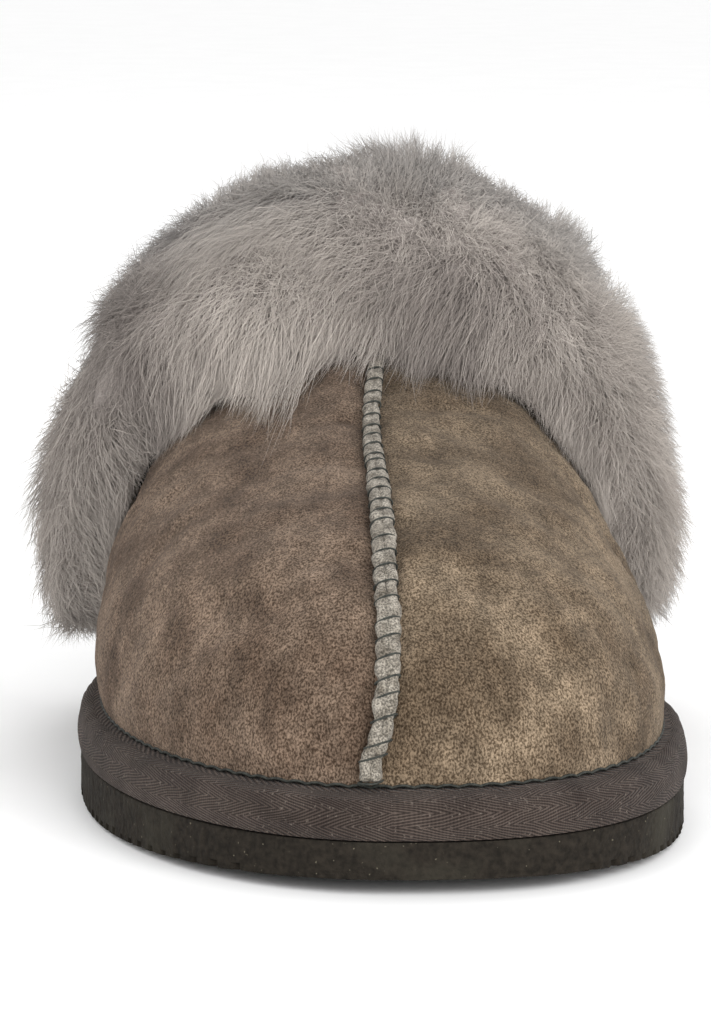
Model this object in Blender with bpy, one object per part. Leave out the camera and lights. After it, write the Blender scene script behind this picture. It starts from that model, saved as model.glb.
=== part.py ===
"""A sheepskin house slipper for the right foot: a backless mule on a wrapped platform.

The toe points to -Y, the heel to +Y and the inner (medial) side of the foot is +X. While the
parts are made, y = 0 is the tip of the toe and x = 0 the middle of the ball of the foot. At
the end a parent empty moves all of them, so that the origin is the bottom centre of the whole
slipper. All lengths are in metres.
"""

import bisect
import math

import bmesh
import bpy
from mathutils import Matrix, Vector

# Plan of the sole. LATERAL is the outer side of the foot (-X) and MEDIAL the inner one (+X).
LATERAL, MEDIAL = -1, 1
SOLE_LENGTH = 0.265
BALL_WIDTH = 0.099
HEEL_WIDTH = 0.075
WAIST_HALF_WIDTH = {LATERAL: 0.0415, MEDIAL: 0.0365}
BALL_DISTANCE = {LATERAL: 0.088, MEDIAL: 0.066}  # toe tip to the widest point of each side
TOE_FULLNESS = {LATERAL: 2.05, MEDIAL: 2.45}  # power of the superellipse of the toe curve
TOE_SHIFT = 0.002  # how far the toe tip lies towards the medial side
HEEL_SHIFT = 0.003  # the same for the middle of the heel
TOE_STEPS, WAIST_STEPS, HEEL_STEPS = 11, 10, 8  # points along one side of an outline

# Meshing
WELD_DISTANCE = 1e-6
SHARP_ANGLE = math.radians(40)

# Heights and thicknesses of the sole
GAP = 0.0003  # air between two touching pieces
LAYER_GAP = 0.0005  # the same where both faces are curved
OUTSOLE_THICKNESS = 0.008
TOE_SPRING = 0.0023  # how far the underside rises at the toe tip
TOE_SPRING_LENGTH = 0.060
RIB_PITCH = 0.0035
GROOVE_WIDTH = 0.0015
GROOVE_DEPTH = 0.001
PLAIN_TOE = 0.010  # smooth margins of the underside, at the toe, waist and heel
PLAIN_WAIST_HALF = 0.022
PLAIN_HEEL = 0.010
PLATFORM_HEIGHT = 0.0077  # from the outsole up to the feather line
WRAP_THICKNESS = 0.0015
WRAP_BULGE = 0.0006
WRAP_TOP_SLOPE = 0.0006
WRAP_TUCK = 0.0002  # the tape's foot turns in by this much
WRAP_FACE = ((0.22, 0.8), (0.50, 1.0), (0.78, 0.3))  # share of its height, share of its bulge
FEATHER_INSET = 0.0036  # from the sole's edge in to the foot of the upper

# Footbed
FOOTBED_FOAM = 0.0035
FOOTBED_HIDE = 0.0015
FOOTBED_PILE = 0.0105
FOOTBED_CLEARANCE = 0.001  # between the footbed and the upper round it
PILE_CLEARANCE = 0.002  # between the footbed's wool and the toe's inner face over it
PILE_ROUNDING = 0.004

# Upper
HIDE_THICKNESS = 0.002
LINING_PILE = 0.0085
TOE_BOX_HEIGHT = 0.0335
TOE_BOX_LENGTH = 0.045
TOE_BOX_FULLNESS = 2.2
INSTEP_RISE = 0.034  # how much the crown climbs from the toe box to the throat
INSTEP_POWER = 1.6
THROAT_TOP = 0.138  # toe tip to the throat, over the instep and at the sole
THROAT_SIDE = 0.168
THROAT_SWEEP = 1.5
SECTION_FULLNESS = 2.15  # power of the superellipse of the upper's cross-section
SIDE_BULGE = {LATERAL: 0.05, MEDIAL: 0.015}  # share by which the upper's sides swell
LINING_START = 0.40  # share of the way from toe to throat where the lining begins
SLOPE_STEP = 0.004  # half the share of the way over which the crown's slope is taken
VAMP_COLUMNS, VAMP_ROWS = 11, 15

# Centre seam
SEAM_SPLIT = 0.0002  # half the slit between the two halves
EDGE_RADIUS = 0.00075
THREAD_RADIUS = 0.00025
SEAM_START, SEAM_END = 0.03, 0.785  # shares of the way from toe to throat
SEAM_FINE_STEPS = 400  # chords that measure the seam's length
EDGE_PITCH = 0.004  # between the points of a raw edge
STITCH_PITCH = 0.0031
STITCH_SHOULDER = 0.8  # where a stitch turns down, as a share of its foot's distance

# Cuff
CUFF_HIDE = 0.0013
CUFF_FRONT = 0.84  # share of the way from toe to throat where the cuff's skin begins
CUFF_REACH = 0.93  # share of the half-girth that the cuff's skin covers
CUFF_THREAD_AHEAD = 0.01  # how far in front of the skin its stitching runs, as the same share
PILE_FRONT, PILE_BACK = 0.795, 1.075  # the wool hangs over both edges of the skin
PILE_REACH = 0.975
PILE_LENGTH = {LATERAL: 0.0215, MEDIAL: 0.018}
PILE_LENGTH_TOP = 0.0178
PILE_FULL = 0.85  # share of the half-girth where the wool has its length at the side
PILE_ROUNDNESS = 0.8  # power of the sine in the wool's section; a smaller one is boxier
PILE_END_POWER = 14  # how bluntly the cuff's wool ends low on each side
PILE_DROOP = 0.014  # how far the wool hangs down there
DROOP_START, DROOP_RUN = 0.45, 0.5  # where that begins, and the share of the girth it takes
CUFF_COLUMNS, CUFF_ROWS = 28, 5
PILE_SEGMENTS, PILE_RINGS = 16, 30

# Heights that follow from these
PLATFORM_BOTTOM = OUTSOLE_THICKNESS + GAP
FEATHER_HEIGHT = OUTSOLE_THICKNESS + PLATFORM_HEIGHT
MIDSOLE_TOP = FEATHER_HEIGHT - WRAP_TOP_SLOPE - WRAP_THICKNESS - GAP
VAMP_BASE = FEATHER_HEIGHT + GAP
FOAM_BOTTOM = FEATHER_HEIGHT + GAP
FOAM_TOP = FOAM_BOTTOM + FOOTBED_FOAM
FOOTBED_HIDE_TOP = FOAM_TOP + GAP + FOOTBED_HIDE
FOOTBED_TOP = FOOTBED_HIDE_TOP + GAP + FOOTBED_PILE
FOOTBED_INSET = FEATHER_INSET + HIDE_THICKNESS + FOOTBED_CLEARANCE
HEEL_CENTRE = SOLE_LENGTH - HEEL_WIDTH / 2


def ease(share):
    """A smooth step from 0 to 1."""
    share = min(max(share, 0.0), 1.0)
    return share * share * (3 - 2 * share)


def superellipse(reach, power):
    """Height of a quarter superellipse: 1 at reach 0, and 0 at reach 1."""
    return max(0.0, 1 - min(max(reach, 0.0), 1.0) ** power) ** (1 / power)


def toe_lean(height):
    """How far behind the toe's inner front face the crown of that face reaches this height."""
    share = (height - VAMP_BASE) / (TOE_BOX_HEIGHT - HIDE_THICKNESS)
    return TOE_BOX_LENGTH * (1 - superellipse(share, TOE_BOX_FULLNESS))


def waist_distance(side):
    return (BALL_DISTANCE[side] + HEEL_CENTRE) / 2


def half_width(side, y, inset):
    """From the centre line to the edge of a layer that is set in all round by inset."""
    ball_y, waist_y = BALL_DISTANCE[side], waist_distance(side)
    ball = BALL_WIDTH / 2 - inset
    waist = WAIST_HALF_WIDTH[side] - inset
    heel = HEEL_WIDTH / 2 - inset
    if y <= ball_y:
        return ball * superellipse((ball_y - y) / (ball_y - inset), TOE_FULLNESS[side])
    if y <= waist_y:
        return ball + (waist - ball) * ease((y - ball_y) / (waist_y - ball_y))
    if y <= HEEL_CENTRE:
        return waist + (heel - waist) * ease((y - waist_y) / (HEEL_CENTRE - waist_y))
    return heel * superellipse((y - HEEL_CENTRE) / (SOLE_LENGTH - inset - HEEL_CENTRE), 2)


def centre_line(y):
    """x of the middle of the sole, which shifts to the medial side at the toe and the heel."""
    toe = 1 - min(y / BALL_DISTANCE[MEDIAL], 1.0)
    heel = ease((y - BALL_DISTANCE[LATERAL]) / (HEEL_CENTRE - BALL_DISTANCE[LATERAL]))
    return TOE_SHIFT * toe * toe + HEEL_SHIFT * heel


def side_stations(side, inset):
    """Distances from the toe, close together where the outline turns quickly."""
    ball_y, heel_end = BALL_DISTANCE[side], SOLE_LENGTH - inset
    toe = [
        inset + (ball_y - inset) * (1 - math.cos(math.pi / 2 * step / TOE_STEPS))
        for step in range(TOE_STEPS)
    ]
    middle = [
        ball_y + (HEEL_CENTRE - ball_y) * step / WAIST_STEPS for step in range(WAIST_STEPS)
    ]
    heel = [
        HEEL_CENTRE + (heel_end - HEEL_CENTRE) * math.sin(math.pi / 2 * step / HEEL_STEPS)
        for step in range(HEEL_STEPS + 1)
    ]
    return toe + middle + heel


def sole_outline(inset):
    """The closed outline of a sole layer, as (x, y), from the toe round the medial side."""
    medial = [
        (centre_line(y) + half_width(MEDIAL, y, inset), y) for y in side_stations(MEDIAL, inset)
    ]
    lateral = [
        (centre_line(y) - half_width(LATERAL, y, inset), y)
        for y in side_stations(LATERAL, inset)
    ]
    return medial + lateral[-2:0:-1]


def throat(across):
    """Distance from the toe tip to the throat's edge, further back low on the sides."""
    return THROAT_TOP + (THROAT_SIDE - THROAT_TOP) * abs(across) ** THROAT_SWEEP


def crown(y, inset):
    """Height of the upper's crown over its foot."""
    start = FEATHER_INSET + inset
    toe_box = superellipse(1 - (y - start) / TOE_BOX_LENGTH, TOE_BOX_FULLNESS)
    climb = max(y - start, 0.0) / (THROAT_TOP - start)
    return (TOE_BOX_HEIGHT - inset) * toe_box + INSTEP_RISE * climb**INSTEP_POWER


def vamp_point(across, along, inset, side):
    """A point of the upper's form.

    across runs from -1 at the lateral foot over the crown, 0, to 1 at the medial foot, and
    along from 0 at the toe to 1 at the throat. A negative inset lies outside the suede.
    """
    angle = math.pi / 2 * abs(across)
    start = FEATHER_INSET + inset
    y = start + (throat(across) - start) * (1 - math.cos(math.pi / 2 * along))
    out = math.sin(angle) ** (2 / SECTION_FULLNESS)
    up = max(math.cos(angle), 0.0) ** (2 / SECTION_FULLNESS)
    swell = 1 + SIDE_BULGE[side] * math.sqrt(max(math.sin(2 * angle), 0.0))
    width = half_width(side, y, start) * out * swell
    x = centre_line(y) + side * (SEAM_SPLIT + width)
    return Vector((x, y, VAMP_BASE + crown(y, inset) * up))


def crown_point(along, sideways, outwards):
    """A point over the centre seam: sideways in x, and outwards along the crown's normal."""
    ahead = vamp_point(0.0, along + SLOPE_STEP, 0.0, MEDIAL)
    behind = vamp_point(0.0, along - SLOPE_STEP, 0.0, MEDIAL)
    middle = (ahead + behind) / 2
    run = (ahead - behind).normalized()
    normal = Vector((0.0, -run.z, run.y))
    return Vector((centre_line(middle.y) + sideways, middle.y, middle.z)) + normal * outwards


def material(name, colour, roughness):
    """A plain Principled material."""
    made = bpy.data.materials.new(name)
    made.use_nodes = True
    shader = made.node_tree.nodes["Principled BSDF"]
    shader.inputs["Base Color"].default_value = (*colour, 1.0)
    shader.inputs["Roughness"].default_value = roughness
    shader.inputs["Metallic"].default_value = 0.0
    return made


def add_object(name, data, finish, collection):
    data.materials.append(finish)
    made = bpy.data.objects.new(name, data)
    collection.objects.link(made)
    return made


def add_mesh(name, bm, finish, collection):
    """Turns a closed bmesh into an object with its faces pointing out."""
    bmesh.ops.remove_doubles(bm, verts=bm.verts, dist=WELD_DISTANCE)
    bmesh.ops.recalc_face_normals(bm, faces=bm.faces)
    mesh = bpy.data.meshes.new(name)
    bm.to_mesh(mesh)
    bm.free()
    mesh.shade_smooth()
    mesh.set_sharp_from_angle(angle=SHARP_ANGLE)
    return add_object(name, mesh, finish, collection)


def poly_curve(name, points, cyclic):
    curve = bpy.data.curves.new(name, "CURVE")
    spline = curve.splines.new("POLY")
    spline.points.add(len(points) - 1)
    for place, point in zip(spline.points, points, strict=True):
        place.co = (*point, 1.0)
    spline.use_cyclic_u = cyclic
    return curve


def tube(name, points, radius, finish, collection, cyclic=False):
    """A round cord along the points."""
    curve = poly_curve(name, points, cyclic)
    curve.dimensions = "3D"
    curve.bevel_depth = radius
    curve.bevel_resolution = 1
    curve.use_fill_caps = True
    return add_object(name, curve, finish, collection)


def flat_layer(name, inset, bottom, top, finish, collection, rounding=0.0):
    """A flat piece of the sole's outline, between two heights."""
    points = [(x, y, 0.0) for x, y in sole_outline(inset)]
    curve = poly_curve(name, points, True)
    curve.dimensions = "2D"
    curve.fill_mode = "BOTH"
    curve.extrude = (top - bottom) / 2 - rounding
    curve.bevel_depth = rounding
    curve.bevel_resolution = 1
    curve.offset = -rounding
    layer = add_object(name, curve, finish, collection)
    layer.location.z = (bottom + top) / 2
    return layer


def as_mesh(obj):
    """Replaces a curve or a modified mesh by the mesh that it evaluates to."""
    bpy.context.view_layer.update()
    evaluated = obj.evaluated_get(bpy.context.evaluated_depsgraph_get())
    mesh = bpy.data.meshes.new_from_object(evaluated)
    bm = bmesh.new()
    bm.from_mesh(mesh)
    bmesh.ops.remove_doubles(bm, verts=bm.verts, dist=WELD_DISTANCE)
    bm.to_mesh(mesh)
    bm.free()
    made = bpy.data.objects.new(obj.name, mesh)
    made.matrix_world = obj.matrix_world
    name, collection = obj.name, obj.users_collection[0]
    bpy.data.objects.remove(obj)
    collection.objects.link(made)
    made.name = name
    return made


def groove_stations():
    """Distances from the toe of the grooves, under the ball and under the heel."""
    waist = waist_distance(MEDIAL)
    zones = [
        (PLAIN_TOE, waist - PLAIN_WAIST_HALF),
        (waist + PLAIN_WAIST_HALF, SOLE_LENGTH - PLAIN_HEEL),
    ]
    return [
        start + RIB_PITCH * step
        for start, end in zones
        for step in range(int((end - start) / RIB_PITCH) + 1)
    ]


def tread_cutter(collection):
    """One bar for each groove, wider than the sole."""
    bm = bmesh.new()
    for y in groove_stations():
        size = Matrix.Diagonal((2 * BALL_WIDTH, GROOVE_WIDTH, 2 * GROOVE_DEPTH, 1.0))
        bmesh.ops.create_cube(bm, size=1.0, matrix=Matrix.Translation((0.0, y, 0.0)) @ size)
    mesh = bpy.data.meshes.new("tread_cutter")
    bm.to_mesh(mesh)
    bm.free()
    cutter = bpy.data.objects.new("tread_cutter", mesh)
    cutter.hide_render = True
    cutter.display_type = "WIRE"
    collection.objects.link(cutter)
    return cutter


def make_outsole(finish, parts, cutters):
    """A flat sole with cross grooves, whose underside rises at the toe."""
    blank = as_mesh(flat_layer("outsole", 0.0, 0.0, OUTSOLE_THICKNESS, finish, parts))
    cut = blank.modifiers.new("tread", "BOOLEAN")
    cut.operation = "DIFFERENCE"
    cut.solver = "EXACT"
    cut.object = tread_cutter(cutters)
    outsole = as_mesh(blank)
    height = outsole.location.z
    for vertex in outsole.data.vertices:
        rise = TOE_SPRING * max(0.0, 1 - vertex.co.y / TOE_SPRING_LENGTH) ** 2
        vertex.co.z += rise * (1 - (vertex.co.z + height) / OUTSOLE_THICKNESS)
    return outsole


def make_platform_wrap(finish, parts):
    """The tape: a band with a soft bulge, folded in over the platform to the feather line."""
    top, low = FEATHER_HEIGHT, PLATFORM_BOTTOM
    side = top - low
    face = [(-bulge * WRAP_BULGE, low + share * side) for share, bulge in WRAP_FACE]
    profile = [
        (WRAP_TUCK, low),
        *face,
        (WRAP_THICKNESS, top - WRAP_TOP_SLOPE),
        (FEATHER_INSET, top),
        (FEATHER_INSET, top - WRAP_THICKNESS),
        (WRAP_THICKNESS, top - WRAP_THICKNESS - WRAP_TOP_SLOPE),
        (WRAP_THICKNESS, low),
    ]
    bm = bmesh.new()
    loops = []
    for inset, height in profile:
        verts = [bm.verts.new((x, y, height)) for x, y in sole_outline(inset)]
        loops.append([bm.edges.new(pair) for pair in zip(verts, verts[1:] + verts[:1], strict=True)])
    for first, second in zip(loops, loops[1:] + loops[:1], strict=True):
        bmesh.ops.bridge_loops(bm, edges=first + second)
    return add_mesh("platform_wrap", bm, finish, parts)


def parameter_slab(columns, rows):
    """A slab of faces from -1 to 1 in x, 0 to 1 in y, and 0 or 1 in z, to be bent to a form."""
    bm = bmesh.new()
    bmesh.ops.create_grid(bm, x_segments=columns, y_segments=rows, size=1.0)
    for vertex in bm.verts:
        vertex.co.y = (vertex.co.y + 1) / 2
    raised = bmesh.ops.extrude_face_region(bm, geom=bm.faces[:])["geom"]
    for item in raised:
        if isinstance(item, bmesh.types.BMVert):
            item.co.z = 1.0
    return bm


def make_vamp_hide(name, side, finish, parts):
    """One half of the suede upper, from the centre seam down to the feather line."""
    bm = parameter_slab(VAMP_COLUMNS, VAMP_ROWS)
    for vertex in bm.verts:
        across, along, depth = (vertex.co.x + 1) / 2, vertex.co.y, vertex.co.z
        vertex.co = vamp_point(side * across, along, depth * HIDE_THICKNESS, side)
    return add_mesh(name, bm, finish, parts)


def lining_limit(along):
    """How far down the side the lining reaches, as an across value: just over the footbed."""
    inset = HIDE_THICKNESS + LAYER_GAP + LINING_PILE
    y = vamp_point(0.0, along, inset, MEDIAL).y
    share = (FOOTBED_TOP + LAYER_GAP - VAMP_BASE) / crown(y, inset)
    return math.acos(min(share, 1.0) ** (SECTION_FULLNESS / 2)) / (math.pi / 2)


def make_vamp_pile(name, side, finish, parts):
    """The wool that lines one half of the upper, down to the footbed."""
    bm = parameter_slab(VAMP_COLUMNS, VAMP_ROWS)
    inner = HIDE_THICKNESS + LAYER_GAP
    for vertex in bm.verts:
        across, depth = (vertex.co.x + 1) / 2, vertex.co.z
        along = LINING_START + (1 - LINING_START) * vertex.co.y
        reach = side * across * lining_limit(along)
        vertex.co = vamp_point(reach, along, inner + depth * LINING_PILE, side)
    return add_mesh(name, bm, finish, parts)


def seam_shares(pitch):
    """Places along the centre seam, evenly spaced by about pitch as measured on the suede."""
    fine = SEAM_FINE_STEPS
    shares = [SEAM_START + (SEAM_END - SEAM_START) * step / fine for step in range(fine + 1)]
    points = [crown_point(share, 0.0, 0.0) for share in shares]
    travelled = [0.0]
    for here, there in zip(points, points[1:], strict=False):
        travelled.append(travelled[-1] + (there - here).length)
    count = round(travelled[-1] / pitch)
    wanted = [travelled[-1] * step / count for step in range(count + 1)]
    return [shares[min(bisect.bisect_left(travelled, distance), fine)] for distance in wanted]


def make_seam_edge(name, side, finish, parts):
    """The turned-out raw edge of one half, standing as a soft ridge beside the other."""
    sideways = side * (EDGE_RADIUS + GAP / 2)
    points = [crown_point(s, sideways, GAP + EDGE_RADIUS) for s in seam_shares(EDGE_PITCH)]
    return tube(name, points, EDGE_RADIUS, finish, parts)


def make_seam_thread(finish, parts):
    """One thread that crosses over both raw edges, again and again."""
    foot = 2 * EDGE_RADIUS + 1.5 * GAP + THREAD_RADIUS
    low = LAYER_GAP + THREAD_RADIUS
    high = 2 * EDGE_RADIUS + 2 * GAP + THREAD_RADIUS
    shoulder = STITCH_SHOULDER * foot
    points = []
    for number, share in enumerate(seam_shares(STITCH_PITCH)):
        way = MEDIAL if number % 2 else LATERAL
        points.append(crown_point(share, way * foot, low))
        points.append(crown_point(share, way * shoulder, high))
        points.append(crown_point(share, -way * shoulder, high))
        points.append(crown_point(share, -way * foot, low))
    return tube("seam_thread", points, THREAD_RADIUS, finish, parts)


def make_cuff_hide(finish, parts):
    """The skin of the cuff, folded out over the throat and laid on the suede."""
    bm = parameter_slab(CUFF_COLUMNS, CUFF_ROWS)
    for vertex in bm.verts:
        across, depth = vertex.co.x * CUFF_REACH, vertex.co.z
        along = CUFF_FRONT + (1 - CUFF_FRONT) * vertex.co.y
        side = LATERAL if across < 0 else MEDIAL
        vertex.co = vamp_point(across, along, -LAYER_GAP - depth * CUFF_HIDE, side)
    return add_mesh("cuff_hide", bm, finish, parts)


def pile_length(across):
    """Length of the cuff's wool, which is fuller on the lateral side."""
    side = LATERAL if across < 0 else MEDIAL
    return PILE_LENGTH_TOP + (PILE_LENGTH[side] - PILE_LENGTH_TOP) * ease(abs(across) / PILE_FULL)


def make_cuff_pile(finish, parts):
    """The outer form of the cuff's wool: a fat band, D-shaped in section, with round ends."""
    bm = bmesh.new()
    bmesh.ops.create_uvsphere(bm, u_segments=PILE_SEGMENTS, v_segments=PILE_RINGS, radius=1.0)
    middle = (PILE_FRONT + PILE_BACK) / 2
    for vertex in bm.verts:
        end = max(-1.0, min(1.0, vertex.co.z))
        turn = math.atan2(vertex.co.y, vertex.co.x)
        across = end * PILE_REACH
        taper = math.sqrt(1 - abs(end) ** PILE_END_POWER)
        along = middle + (PILE_BACK - PILE_FRONT) / 2 * math.cos(turn) * taper
        rise = max(math.sin(turn), 0.0) ** PILE_ROUNDNESS * taper
        outwards = 2 * LAYER_GAP + CUFF_HIDE + pile_length(across) * rise
        vertex.co = vamp_point(across, along, -outwards, LATERAL if across < 0 else MEDIAL)
        vertex.co.z -= PILE_DROOP * rise * ease((abs(end) - DROOP_START) / DROOP_RUN)
    return add_mesh("cuff_pile", bm, finish, parts)


def make_cuff_thread(finish, parts):
    """The stitching along the cuff's front edge."""
    points = []
    for step in range(CUFF_COLUMNS + 1):
        across = CUFF_REACH * (2 * step / CUFF_COLUMNS - 1)
        side = LATERAL if across < 0 else MEDIAL
        along = CUFF_FRONT - CUFF_THREAD_AHEAD
        points.append(vamp_point(across, along, -LAYER_GAP - THREAD_RADIUS, side))
    return tube("cuff_thread", points, THREAD_RADIUS, finish, parts)


def make_feather_thread(finish, parts):
    """The stitching that joins the upper and the wrap, all round the foot of the upper."""
    inset = FEATHER_INSET - 2 * THREAD_RADIUS - GAP
    height = FEATHER_HEIGHT + GAP + THREAD_RADIUS
    points = [(x, y, height) for x, y in sole_outline(inset)]
    return tube("feather_thread", points, THREAD_RADIUS, finish, parts, cyclic=True)


def make_sole(finishes, parts, cutters):
    make_outsole(finishes["rubber"], parts, cutters)
    make_platform_wrap(finishes["tape"], parts)
    midsole_inset = WRAP_THICKNESS + LAYER_GAP
    flat_layer("midsole", midsole_inset, PLATFORM_BOTTOM, MIDSOLE_TOP, finishes["foam"], parts)
    board_inset = FEATHER_INSET + LAYER_GAP
    board_bottom = MIDSOLE_TOP + GAP
    flat_layer("insole_board", board_inset, board_bottom, FEATHER_HEIGHT, finishes["board"], parts)


def make_footbed(finishes, parts):
    hide_bottom, pile_bottom = FOAM_TOP + GAP, FOOTBED_HIDE_TOP + GAP
    flat_layer("footbed_foam", FOOTBED_INSET, FOAM_BOTTOM, FOAM_TOP, finishes["foam"], parts)
    flat_layer("footbed_hide", FOOTBED_INSET, hide_bottom, FOOTBED_HIDE_TOP, finishes["skin"], parts)
    setback = toe_lean(FOOTBED_TOP) + PILE_CLEARANCE - PILE_ROUNDING
    pile_inset = FOOTBED_INSET + setback
    wool = finishes["wool"]
    flat_layer("footbed_pile", pile_inset, pile_bottom, FOOTBED_TOP, wool, parts, PILE_ROUNDING)


def make_upper(finishes, parts):
    for word, side in (("lateral", LATERAL), ("medial", MEDIAL)):
        make_vamp_hide(f"vamp_{word}_hide", side, finishes["suede"], parts)
        make_vamp_pile(f"vamp_{word}_pile", side, finishes["wool"], parts)
        make_seam_edge(f"vamp_{word}_seam_edge", side, finishes["raw_edge"], parts)
    make_seam_thread(finishes["thread"], parts)
    make_feather_thread(finishes["thread"], parts)


def make_cuff(finishes, parts):
    make_cuff_hide(finishes["skin"], parts)
    make_cuff_pile(finishes["wool"], parts)
    make_cuff_thread(finishes["thread"], parts)


def put_origin_under_the_middle(parts):
    """Hangs every part on one empty, whose place brings the bottom centre to the origin."""
    bpy.context.view_layer.update()
    corners = [obj.matrix_world @ Vector(c) for obj in parts.objects for c in obj.bound_box]
    across = (min(c.x for c in corners) + max(c.x for c in corners)) / 2
    along = (min(c.y for c in corners) + max(c.y for c in corners)) / 2
    root = bpy.data.objects.new("slipper_root", None)
    for obj in parts.objects:
        obj.parent = root
    parts.objects.link(root)
    root.location = (-across, -along, 0.0)


def main():
    for obj in list(bpy.data.objects):
        bpy.data.objects.remove(obj)
    parts = bpy.data.collections.new("house_slipper")
    cutters = bpy.data.collections.new("cutters")
    cutters.hide_render = True
    for collection in (parts, cutters):
        bpy.context.scene.collection.children.link(collection)
    finishes = {
        "rubber": material("dark_rubber", (0.040, 0.034, 0.028), 0.75),
        "tape": material("herringbone_tape", (0.062, 0.050, 0.044), 0.9),
        "foam": material("sole_foam", (0.55, 0.53, 0.48), 0.9),
        "board": material("insole_board", (0.42, 0.33, 0.23), 0.85),
        "suede": material("suede", (0.190, 0.142, 0.105), 0.95),
        "skin": material("undyed_skin", (0.45, 0.40, 0.34), 0.9),
        "wool": material("grey_wool", (0.254, 0.223, 0.202), 0.95),
        "raw_edge": material("raw_sheepskin_edge", (0.305, 0.275, 0.231), 0.95),
        "thread": material("dark_thread", (0.034, 0.030, 0.023), 0.7),
    }
    make_sole(finishes, parts, cutters)
    make_footbed(finishes, parts)
    make_upper(finishes, parts)
    make_cuff(finishes, parts)
    put_origin_under_the_middle(parts)


main()
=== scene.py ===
# %% [markdown]
# # A fluffy house slipper, dressed for its picture
# The imported CAD model gives every piece its place and size. This lesson puts the real surfaces round it:
# suede with a brushed nap, a puffy overcast seam, woven herringbone tape, a cut rubber sole, and above all
# the long wool of the cuff, which is grown fibre by fibre as real geometry, so that it has a true outline
# from every side. We start by loading the frame, whose parts' boxes give the sizes that follow.

# %% Load the imported frame
import math

import bmesh
import bpy
import numpy as np
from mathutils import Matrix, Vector, kdtree


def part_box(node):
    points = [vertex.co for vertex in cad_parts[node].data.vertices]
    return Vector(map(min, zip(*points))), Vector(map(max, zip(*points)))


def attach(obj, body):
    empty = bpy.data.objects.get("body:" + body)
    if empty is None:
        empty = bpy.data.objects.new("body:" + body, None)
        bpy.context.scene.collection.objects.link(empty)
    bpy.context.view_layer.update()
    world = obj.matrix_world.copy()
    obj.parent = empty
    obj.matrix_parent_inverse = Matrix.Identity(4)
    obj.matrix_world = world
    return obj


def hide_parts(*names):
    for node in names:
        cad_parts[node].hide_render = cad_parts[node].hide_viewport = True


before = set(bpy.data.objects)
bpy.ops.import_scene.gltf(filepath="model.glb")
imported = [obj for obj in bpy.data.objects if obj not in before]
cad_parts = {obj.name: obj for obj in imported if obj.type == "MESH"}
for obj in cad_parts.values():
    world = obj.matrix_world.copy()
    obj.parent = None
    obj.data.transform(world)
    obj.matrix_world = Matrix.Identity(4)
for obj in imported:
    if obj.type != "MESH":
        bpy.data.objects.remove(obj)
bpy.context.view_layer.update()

MM = 0.001
BODY = "root"

# %% [markdown]
# ## Camera, light and floor
# The slipper is looked at straight from its toe, a little from above, through a long lens, so that the sole
# and the cuff behind it keep nearly the same scale. The light is that of a plain studio: a bright even room,
# one large soft lamp at the front right, and weaker ones at the front left and above the heel. The picture is
# read with the plain "Standard" view, so that a pale floor stays pale and the greys stay neutral.

# %% Camera
CAMERA_DISTANCE = 0.850
CAMERA_RISE = math.radians(8.5)
CAMERA_LENS = 260.4
CAMERA_AIM = Vector((0.0011, -0.0525, 0.0466))

camera = bpy.data.objects.new("camera", bpy.data.cameras.new("camera"))
camera.data.sensor_fit = "HORIZONTAL"
camera.data.sensor_width = 36.0
camera.data.lens = CAMERA_LENS
camera.data.clip_start = 0.05
camera.data.clip_end = 30.0
camera_way = Vector((0.0, -math.cos(CAMERA_RISE), math.sin(CAMERA_RISE)))
camera.location = CAMERA_AIM + camera_way * CAMERA_DISTANCE
camera.rotation_euler = camera_way.to_track_quat("Z", "Y").to_euler()
bpy.context.scene.collection.objects.link(camera)
bpy.context.scene.camera = camera
bpy.context.scene.view_settings.view_transform = "Standard"
print("camera at", tuple(round(c, 3) for c in camera.location))


# %% Lamps and the room's own light
def add_lamp(name, place, width, power):
    """A square soft lamp that faces the slipper."""
    lamp = bpy.data.objects.new(name, bpy.data.lights.new(name, "AREA"))
    lamp.data.size = width
    lamp.data.energy = power
    lamp.location = place
    lamp.rotation_euler = (Vector(place) - CAMERA_AIM).to_track_quat("Z", "Y").to_euler()
    bpy.context.scene.collection.objects.link(lamp)


add_lamp("key_lamp", (0.60, -1.00, 0.55), 0.90, 9.5)
add_lamp("fill_lamp", (-0.75, -0.90, 0.40), 0.90, 2.0)
add_lamp("top_lamp", (0.10, 0.55, 1.00), 0.70, 2.5)
world = bpy.data.worlds.new("room")
world.use_nodes = True
world.node_tree.nodes["Background"].inputs["Color"].default_value = (1.0, 1.0, 1.0, 1.0)
world.node_tree.nodes["Background"].inputs["Strength"].default_value = 1.0
bpy.context.scene.world = world

# %% [markdown]
# ## Small tools for finishes and meshes
# Every finish below is a Principled shader fed by a few noise patterns on Object coordinates, which lie in
# metres on the slipper itself. The pattern that nearly all of them need, a soft tone between two colours, is
# one shader node group, built once and placed in each material with its own scale and colours.


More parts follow.
